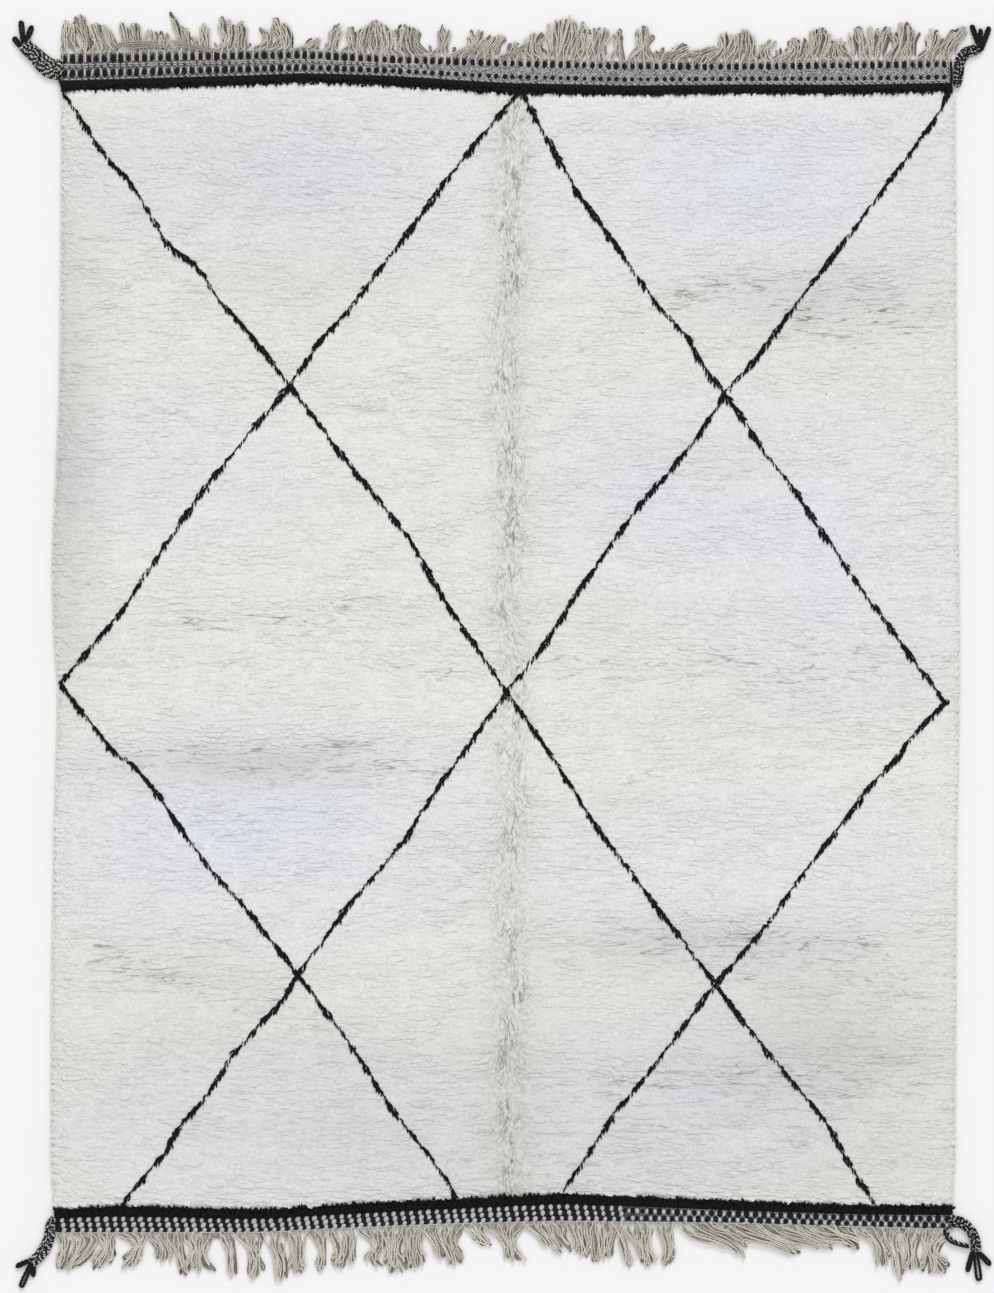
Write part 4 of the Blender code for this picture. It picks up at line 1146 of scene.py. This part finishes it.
fringe = {
    "radius": 2.5, "crowd": 5.2, "step": 4.4, "twist": 24, "crown": 0.2, "strands": 90,
    "waver": 1.7, "cross": 0.3, "full": {"top": 1.26, "bottom": 1.38},
    "under": {"top": 110, "bottom": 60}, "underReach": {"top": 36, "bottom": 24},
    "inset": {"top": 22, "bottom": 4},
    # light and dark: tones of the cords on top and of those below, whose darkness is painted shade
    "light": {"top": 0.86, "bottom": 0.98}, "dark": {"top": 0.22, "bottom": 0.3},
    # cords that lie across the others: three or four places on each, x and y
    "strays": (
        ((-976, 1496), (-961, 1514), (-906, 1521), (-844, 1519)),
        ((-936, 1499), (-919, 1509), (-856, 1511), (-811, 1499)),
        ((-831, 1524), (-791, 1516), (-741, 1506), (-696, 1494)),
        ((-819, 1514), (-781, 1509), (-731, 1499)),
        ((-106, 1484), (-76, 1499), (-59, 1516)), ((4, 1478), (31, 1499), (64, 1516)),
        ((394, 1476), (414, 1489), (444, 1499)), ((474, 1479), (501, 1499), (536, 1509)),
    ),
    # each lock from left to right: its strands, then its neck, body and tip as x, distance from
    # the heading, and width
    "top": (
        (2, (-1086, 22, 35), (-1086, 55, 34), (-1086, 85, 32)),
        (1, (-1040, 20, 16), (-1052, 64, 26), (-1060, 102, 26)),
        (3, (-991, 18, 50), (-1006, 48, 52), (-1018, 80, 46)),
        (1, (-941, 16, 14), (-946, 50, 16), (-949, 85, 16)),
        (1, (-914, 16, 24), (-916, 45, 26), (-919, 78, 26)),
        (2, (-876, 15, 38), (-876, 38, 38), (-876, 60, 36)),
        (1, (-844, 14, 22), (-844, 34, 22), (-844, 52, 20)),
        (1, (-806, 29, 12), (-816, 66, 14), (-829, 101, 12)),
        (1, (-788, 24, 18), (-794, 47, 18), (-797, 64, 16)),
        (1, (-763, 14, 24), (-768, 26, 22), (-772, 38, 18)),
        (1, (-741, 18, 18), (-744, 46, 22), (-744, 73, 20)),
        (2, (-684, 21, 14), (-691, 52, 34), (-694, 91, 26)),
        (2, (-656, 16, 24), (-656, 46, 38), (-656, 78, 28)),
        (2, (-586, 24, 14), (-593, 44, 26), (-606, 60, 26)),
        (2, (-539, 15, 24), (-554, 50, 40), (-569, 85, 24)),
        (3, (-482, 12, 34), (-474, 22, 30), (-465, 35, 26)),
        (2, (-424, 16, 14), (-416, 42, 28), (-408, 72, 26)),
        (2, (-374, 26, 14), (-383, 46, 24), (-380, 70, 22)),
        (3, (-321, 26, 74), (-321, 54, 62), (-316, 86, 30)),
        (4, (-246, 28, 66), (-244, 53, 68), (-244, 78, 58)),
        (2, (-149, 24, 18), (-146, 54, 28), (-146, 82, 28)),
        (3, (-71, 29, 24), (-61, 52, 46), (-59, 75, 44)),
        (2, (-21, 32, 30), (-11, 44, 40), (-4, 62, 26)),
        (3, (30, 15, 36), (34, 28, 34), (37, 42, 28)),
        (2, (73, 26, 28), (84, 52, 44), (89, 74, 40)),
        (3, (154, 34, 62), (159, 69, 76), (161, 112, 60)),
        (1, (204, 35, 14), (209, 60, 20), (209, 85, 18)),
        (2, (239, 39, 34), (244, 61, 44), (244, 86, 40)),
        (2, (291, 37, 12), (286, 60, 24), (286, 85, 20)),
        (3, (351, 28, 14), (351, 58, 42), (351, 93, 24)),
        (2, (429, 18, 22), (449, 31, 28), (466, 44, 26)),
        (3, (504, 19, 20), (524, 29, 18), (541, 39, 14)),
        (2, (559, 34, 30), (559, 54, 34), (559, 79, 26)),
        (3, (606, 30, 46), (606, 55, 44), (606, 85, 28)),
        (2, (654, 29, 18), (666, 44, 30), (671, 59, 26)),
        (3, (741, 27, 44), (741, 44, 52), (741, 62, 44)),
        (2, (794, 36, 38), (794, 61, 44), (796, 86, 28)),
        (3, (834, 31, 36), (836, 43, 44), (836, 58, 40)),
        (3, (919, 32, 66), (919, 57, 84), (921, 87, 74)),
        (3, (1004, 31, 40), (1006, 61, 66), (1006, 98, 56)),
        (2, (1074, 28, 24), (1079, 53, 40), (1081, 78, 36)),
        (2, (1111, 28, 38), (1131, 55, 38), (1151, 85, 34)),
    ),
    "bottom": (
        (4, (-1056, 24, 70), (-1076, 59, 62), (-1099, 94, 34)),
        (2, (-986, 27, 18), (-996, 59, 44), (-1011, 92, 40)),
        (3, (-909, 24, 20), (-926, 62, 40), (-941, 94, 40)),
        (2, (-849, 32, 32), (-846, 57, 34), (-849, 77, 30)),
        (2, (-811, 42, 18), (-801, 77, 22), (-796, 112, 22)),
        (3, (-759, 37, 30), (-761, 67, 44), (-756, 99, 66)),
        (2, (-679, 42, 16), (-679, 84, 22), (-679, 121, 18)),
        (3, (-626, 37, 18), (-616, 77, 32), (-624, 122, 20)),
        (2, (-566, 40, 24), (-552, 80, 26), (-555, 128, 20)),
        (2, (-511, 38, 24), (-517, 84, 34), (-505, 110, 42)),
        (2, (-451, 40, 14), (-454, 80, 24), (-454, 112, 22)),
        (3, (-396, 37, 44), (-401, 67, 50), (-410, 102, 46)),
        (3, (-311, 42, 22), (-329, 72, 26), (-311, 104, 36)),
        (2, (-276, 48, 24), (-271, 86, 40), (-266, 121, 46)),
        (2, (-224, 45, 30), (-219, 80, 42), (-214, 110, 40)),
        (4, (-146, 38, 50), (-131, 71, 60), (-124, 106, 58)),
        (2, (-66, 20, 22), (-54, 36, 34), (-41, 56, 34)),
        (4, (9, 32, 40), (21, 62, 24), (26, 100, 54)),
        (4, (122, 35, 56), (141, 60, 60), (146, 80, 58)),
        (2, (189, 35, 24), (194, 60, 24), (195, 85, 22)),
        (3, (243, 40, 56), (239, 72, 54), (237, 102, 48)),
        (1, (299, 44, 14), (309, 79, 18), (319, 116, 20)),
        (3, (349, 51, 30), (360, 78, 36), (368, 113, 42)),
        (2, (411, 43, 18), (415, 71, 26), (405, 111, 24)),
        (4, (524, 26, 36), (571, 43, 34), (609, 83, 30)),
        (4, (654, 31, 32), (712, 50, 30), (757, 76, 28)),
        (4, (752, 27, 30), (794, 43, 28), (829, 68, 26)),
        (5, (838, 21, 28), (872, 35, 32), (897, 62, 30)),
        (4, (935, 30, 32), (951, 66, 34), (947, 108, 32)),
        (2, (976, 34, 16), (989, 78, 20), (994, 133, 26)),
        (2, (1021, 44, 18), (1026, 79, 24), (1021, 111, 30)),
        (3, (1069, 45, 22), (1081, 77, 52), (1089, 114, 78)),
    ),
}


def lockPath(end, first, last, rows):
    # Middle of a lock from the heading to its tip, its width, and the way across it. A lock that
    # lies down is as wide across its own path, an upright one along the heading.
    sign = outward[end]
    root = (first + last) / 2
    path = [(root, headingEdge[end](root) + sign * 1 * mm, last - first)]
    for x, out, width in rows:
        path.append((x * mm, headingEdge[end](x * mm) + sign * out * mm, width * mm))
    path = smoothRoute(path, fringe["step"] * mm)
    across = np.zeros((len(path), 2)) + (1, 0)
    if abs(path[-1, 0] - root) > abs(path[-1, 1] - path[0, 1]):
        ahead = np.gradient(path[:, :2], axis=0)
        normal = np.column_stack([-ahead[:, 1], ahead[:, 0]]) / np.linalg.norm(ahead, axis=1)[:, None]
        normal *= np.where(normal[:, :1] < 0, -1, 1)
        turned = np.clip(np.linspace(0, 3, len(path)), 0, 1)[:, None]
        across = across * (1 - turned) + normal * turned
    return path, across


def makeFringe(end):
    # Each cord is a loop of warp: it rises from the heading, closes in with the rest of its lock,
    # turns at the tip and comes back down beside itself
    chance = np.random.default_rng(130 + outward[end])
    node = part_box(f"heading_{end}")
    left, right = node[0].x, node[1].x
    pitch = (right - left) / fringe["strands"]
    sign, radius = outward[end], fringe["radius"] * mm
    rootPitch = headings[end]["pitch"] * mm
    yarns, taken = [], 0
    for strands, *rows in fringe[end]:
        first, last = left + taken * pitch, left + (taken + strands) * pitch
        taken += strands
        path, across = lockPath(end, first, last, rows)
        steps = len(path) - 1
        path[:, 2] *= fringe["full"][end]
        widest = max(width for x, out, width in rows) * fringe["full"][end] * mm
        loops = max(3, round(widest / (fringe["crowd"] * mm)))
        for k in range(loops):
            # cords on top are painted light, and those below them dark, as painted shade that shows in
            # the gaps between them
            over = k % 2 == 0
            layer = chance.uniform(0.6, 1) if over else chance.uniform(0, 0.3)
            order = np.clip((k + 0.5) / loops + chance.normal(0, 0.03), 0.03, 0.97)
            part = 2 * order - 1
            tall = 1 - min(abs(chance.normal(0, 0.07)), 0.2) - fringe["crown"] * part * part
            leg = radius * chance.uniform(0.9, 1.3)
            drift = chance.normal(0, fringe["cross"])  # some cords cross over their neighbours
            root = first + (last - first) * order
            root = left + rootPitch * (round((root - left) / rootPitch - 0.95) + 0.95)
            root = np.clip(root + chance.uniform(-2.6, 2.6) * mm, left + 4 * mm, right - 4 * mm)
            edge = headingEdge[end](root)

            def place(share, aside, z):
                i = int(round(share * steps))
                aside = aside + chance.normal(0, fringe["waver"] * mm)
                where = np.clip(part + drift * share * share, -1, 1)
                x, y = path[i, :2] + across[i] * (where * (path[i, 2] / 2 - radius) + aside)
                return x, y, z * mm

            low, high = 3.2 + 3 * layer, 3.3 + 4.6 * layer
            inset = fringe["inset"][end] * mm
            route = [(root, edge - sign * inset, 6.4 * mm), (root, edge - sign * 1 * mm, 6.4 * mm)]
            away = ((0.25, low), (0.5, high), (0.7, high), (0.92, high))
            route += [place(share * tall, -leg, z) for share, z in away]
            route.append(place(tall, 0, high - 0.6))
            home = ((0.92, high), (0.66, high), (chance.uniform(0.1, 0.3), 3.2))
            route += [place(share * tall, leg, z) for share, z in home]
            # painted shade: cords below the others are painted darker from their roots into the lock
            tone = (fringe["light"] if over else fringe["dark"])[end] + chance.normal(0, 0.12)
            yarns.append(yarn(
                route, radius * chance.uniform(0.88, 1.12), fringe["step"] * mm,
                fringe["twist"] * mm, (0.95 if over else 0.5, float(np.clip(tone, 0, 1))),
                chance.uniform(0, 6),
            ))
    for x in chance.uniform(left + 12 * mm, right - 12 * mm, fringe["under"][end]):
        # short loops low down between the locks, painted darker towards their ends as painted shade
        sway, out = chance.normal(0, 20) * mm, chance.uniform(10, fringe["underReach"][end]) * mm
        sway = np.clip(x + sway, left + 8 * mm, right - 8 * mm) - x
        edge = headingEdge[end](x)
        route = [
            (x, edge - sign * 2 * mm, 5 * mm), (x + sway * 0.4, edge + sign * out * 0.5, 3.6 * mm),
            (x + sway, edge + sign * out, 3.3 * mm),
            (x + sway + 3 * mm, edge + sign * out * 0.9, 3.3 * mm),
            (x + sway * 0.3 + 4 * mm, edge + sign * 3 * mm, 3.3 * mm),
        ]
        yarns.append(yarn(
            route, radius, fringe["step"] * mm, fringe["twist"] * mm, (0.8, chance.uniform(0, 0.6))
        ))
    for stray in fringe["strays"] if end == "top" else ():
        route = [(x * mm, y * mm, z * mm) for (x, y), z in zip(stray, (6, 8, 9, 4))]
        for shift in (0, 5):
            moved = [(x + shift * mm * 0.4, y - shift * mm, z + shift * 0.1 * mm) for x, y, z in route]
            yarns.append(yarn(moved, radius, fringe["step"] * mm, fringe["twist"] * mm, 0.6))
    cords = spin(f"warpFringe{end.title()}", yarns, 5, 0.3, warpYarn)
    finishPiece(cords, "warp_fringe", f"fringe_{end}")


for end in outward:
    makeFringe(end)
print("fringes done")


# ---- side cords: wool wrapped round the outermost warps

sideCords = {"wrap": 7.5, "groove": 0.1, "step": 3.6}


def makeSideCord(side):
    chance = np.random.default_rng(140 + len(side))
    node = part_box(f"side_cord_{side}")
    ys = np.arange(node[0].y, node[1].y, sideCords["step"] * mm)
    route = np.column_stack([cordMiddle[side](ys), ys, 0 * ys + cordRadius])
    cord = yarn(route, cordRadius * 0.95, sideCords["step"] * mm, 60 * mm, 0.6)
    wraps = np.cos(2 * math.pi * np.arange(len(cord["thick"])) * sideCords["step"] / sideCords["wrap"])
    cord["thick"] *= 1 + 0.05 * wraps + chance.normal(0, 0.015, len(wraps))
    cords = spin(f"sideCord{side.title()}", [cord], 8, sideCords["groove"], selvedgeYarn)
    finishPiece(cords, "side_cord", f"side_cord_{side}")


for side in ("left", "right"):
    makeSideCord(side)
print("side cords done")


# ---- corner plaits: flat black and white braids with yarn loops at the end

plaits = {
    "radius": 3.3, "step": 2.6, "advance": 52, "twist": 11, "height": 6.0, "crowd": 4.6,
    "loopRadius": 4.2, "loopTwist": 20, "tailRadius": 3.8, "tailTwist": 14,
    # rows run outwards from the heading: x, y, width; then the loops' tips: x, y, width
    "nw": {
        "rows": ((-1100, 1450, 54), (-1127, 1452, 52), (-1148, 1466, 48), (-1167, 1485, 42),
                 (-1186, 1503, 40), (-1198, 1515, 36)),
        "loops": ((-1222, 1530, 12), (-1204, 1570, 12), (-1177, 1558, 12)),
        "tails": (((-1112, 1441), (-1106, 1418), (-1098, 1400), (-1089, 1382)),),
    },
    "ne": {
        "rows": ((1131, 1409, 20), (1138, 1420, 24), (1141, 1446, 28), (1144, 1471, 29),
                 (1157, 1491, 29), (1176, 1498, 29), (1193, 1505, 28)),
        "loops": ((1174, 1560, 11), (1196, 1550, 10), (1217, 1555, 11)),
        "tails": (((1120, 1470), (1123, 1445), (1121, 1412), (1117, 1396)),),
    },
    "sw": {
        "rows": ((-1124, -1420, 16), (-1131, -1440, 26), (-1134, -1470, 30), (-1146, -1499, 32),
                 (-1162, -1520, 30), (-1178, -1534, 28)),
        "loops": ((-1174, -1567, 11), (-1204, -1593, 13), (-1215, -1543, 11)),
        "tails": (),
    },
    "se": {
        "rows": ((1117, -1428, 34), (1131, -1431, 33), (1145, -1433, 31), (1162, -1443, 28),
                 (1176, -1462, 28), (1184, -1486, 28), (1183, -1507, 28)),
        "loops": ((1219, -1538, 12), (1192, -1576, 15), (1163, -1554, 11)),
        # a side branch that leaves the heading and joins the plait lower down
        "tails": (((1104, -1447), (1107, -1462), (1116, -1478), (1136, -1488), (1168, -1496)),
                  ((1112, -1444), (1114, -1460), (1122, -1473), (1140, -1483), (1168, -1490))),
    },
}


def makePlait(corner):
    look = plaits[corner]
    chance = np.random.default_rng(150 + len(look["loops"]) + ord(corner[0]) + ord(corner[1]))
    path = smoothRoute([(x * mm, y * mm, w * mm) for x, y, w in look["rows"]], plaits["step"] * mm)
    ahead = np.gradient(path[:, :2], axis=0)
    ahead /= np.linalg.norm(ahead, axis=1)[:, None]
    leftward = np.column_stack([-ahead[:, 1], ahead[:, 0]])
    far = np.arange(len(path)) * plaits["step"] * mm
    yarns = []
    strands = round(max(w for x, y, w in look["rows"]) / plaits["crowd"])
    for k in range(strands):
        phase = 2 * math.pi * (far / (plaits["advance"] * mm) + k / strands)
        swing = (path[:, 2] / 2 - plaits["radius"] * mm) * np.cos(phase)
        lift = (plaits["height"] + 2.6 * np.sin(2 * phase)) * mm
        route = np.column_stack([path[:, :2] + leftward * swing[:, None], lift])
        yarns.append(yarn(
            route, plaits["radius"] * mm, plaits["step"] * mm, plaits["twist"] * mm,
            chance.uniform(0.24, 0.46), chance.uniform(0, 6),
        ))
    end, across = path[-1], leftward[-1]
    for k, (x, y, width) in enumerate(look["loops"]):
        tip = np.array((x, y)) * mm
        start = end[:2] + across * end[2] * (0.3 - 0.3 * k)
        way = (tip - start) / np.linalg.norm(tip - start)
        aside = np.array((-way[1], way[0])) * (width * mm / 2 - 2.2 * mm)
        back = tip - way * 4 * mm
        middle = (start + tip) / 2
        route = [
            (*(start + aside * 0.6), 5.4 * mm), (*(middle + aside), 5 * mm), (*(back + aside), 4.8 * mm),
            (*tip, 4.8 * mm), (*(back - aside), 4.8 * mm), (*(middle - aside), 5 * mm),
            (*(start - aside * 0.6), 5 * mm),
        ]
        yarns.append(yarn(
            route, plaits["loopRadius"] * mm, plaits["step"] * mm, plaits["loopTwist"] * mm,
            0.0, chance.uniform(0, 6),
        ))
    for k, tail in enumerate(look["tails"]):
        route = [(x * mm, y * mm, 8 * mm) for x, y in tail]
        yarns.append(yarn(
            route, plaits["tailRadius"] * mm, plaits["step"] * mm, plaits["tailTwist"] * mm, 0.3 * k
        ))
    piece = spin(f"cornerPlait{corner.title()}", yarns, 8, 0.25, fleckedWool)
    finishPiece(piece, "plaited_yarn", f"corner_plait_{corner}")


for corner in ("nw", "ne", "sw", "se"):
    makePlait(corner)
print("corner plaits done")


# ---- floor, light and camera

studio = {
    "floor": "#F4F4F4", "floorSize": 120,  # metres, wide enough for low views
    "world": "#FFFFFF", "worldStrength": 0.815,
    "sunStrength": 1.2, "sunSoftness": 24, "sunTilt": 58, "sunTurn": -8,
    "lens": 200, "photoHeight": 1293, "scale": 2.5,  # pixels, and mm for each pixel
    "middle": (-13.75, 7.5),  # what the photograph's centre shows
}


def makeFloor():
    mesh = bmesh.new()
    bmesh.ops.create_grid(mesh, x_segments=1, y_segments=1, size=studio["floorSize"])
    data = meshData("floor", mesh, False)
    material = bpy.data.materials.new("paintedStudioFloor")  # flat pale paint, no shine
    material.use_nodes = True
    shader = material.node_tree.nodes["Principled BSDF"]
    shader.inputs["Base Color"].default_value = linear(studio["floor"])
    shader.inputs["Roughness"].default_value = 1.0
    shader.inputs["Specular IOR Level"].default_value = 0.0
    floor = addPiece("floor", data, material)


def makeLight():
    world = bpy.data.worlds.new("softStudio")
    world.use_nodes = True
    background = world.node_tree.nodes["Background"]
    background.inputs["Color"].default_value = linear(studio["world"])
    background.inputs["Strength"].default_value = studio["worldStrength"]
    bpy.context.scene.world = world
    sun = bpy.data.lights.new("softKey", "SUN")
    sun.energy = studio["sunStrength"]
    sun.angle = math.radians(studio["sunSoftness"])
    key = bpy.data.objects.new("softKey", sun)
    key.rotation_euler = (math.radians(-studio["sunTilt"]), 0, math.radians(studio["sunTurn"]))
    bpy.context.scene.collection.objects.link(key)


def makeCamera():
    # Straight above, far away behind a long lens, so that nothing leans
    camera = bpy.data.cameras.new("camera")
    camera.lens = studio["lens"]
    longSide = studio["photoHeight"] * studio["scale"] * mm
    distance = longSide * studio["lens"] / camera.sensor_width
    camera.clip_end = 100
    eye = bpy.data.objects.new("camera", camera)
    x, y = studio["middle"]
    eye.location = (x * mm, y * mm, distance + 12 * mm)
    bpy.context.scene.collection.objects.link(eye)
    bpy.context.scene.camera = eye


makeFloor()
makeLight()
makeCamera()
bpy.context.scene.view_settings.view_transform = "Standard"
print("studio done")
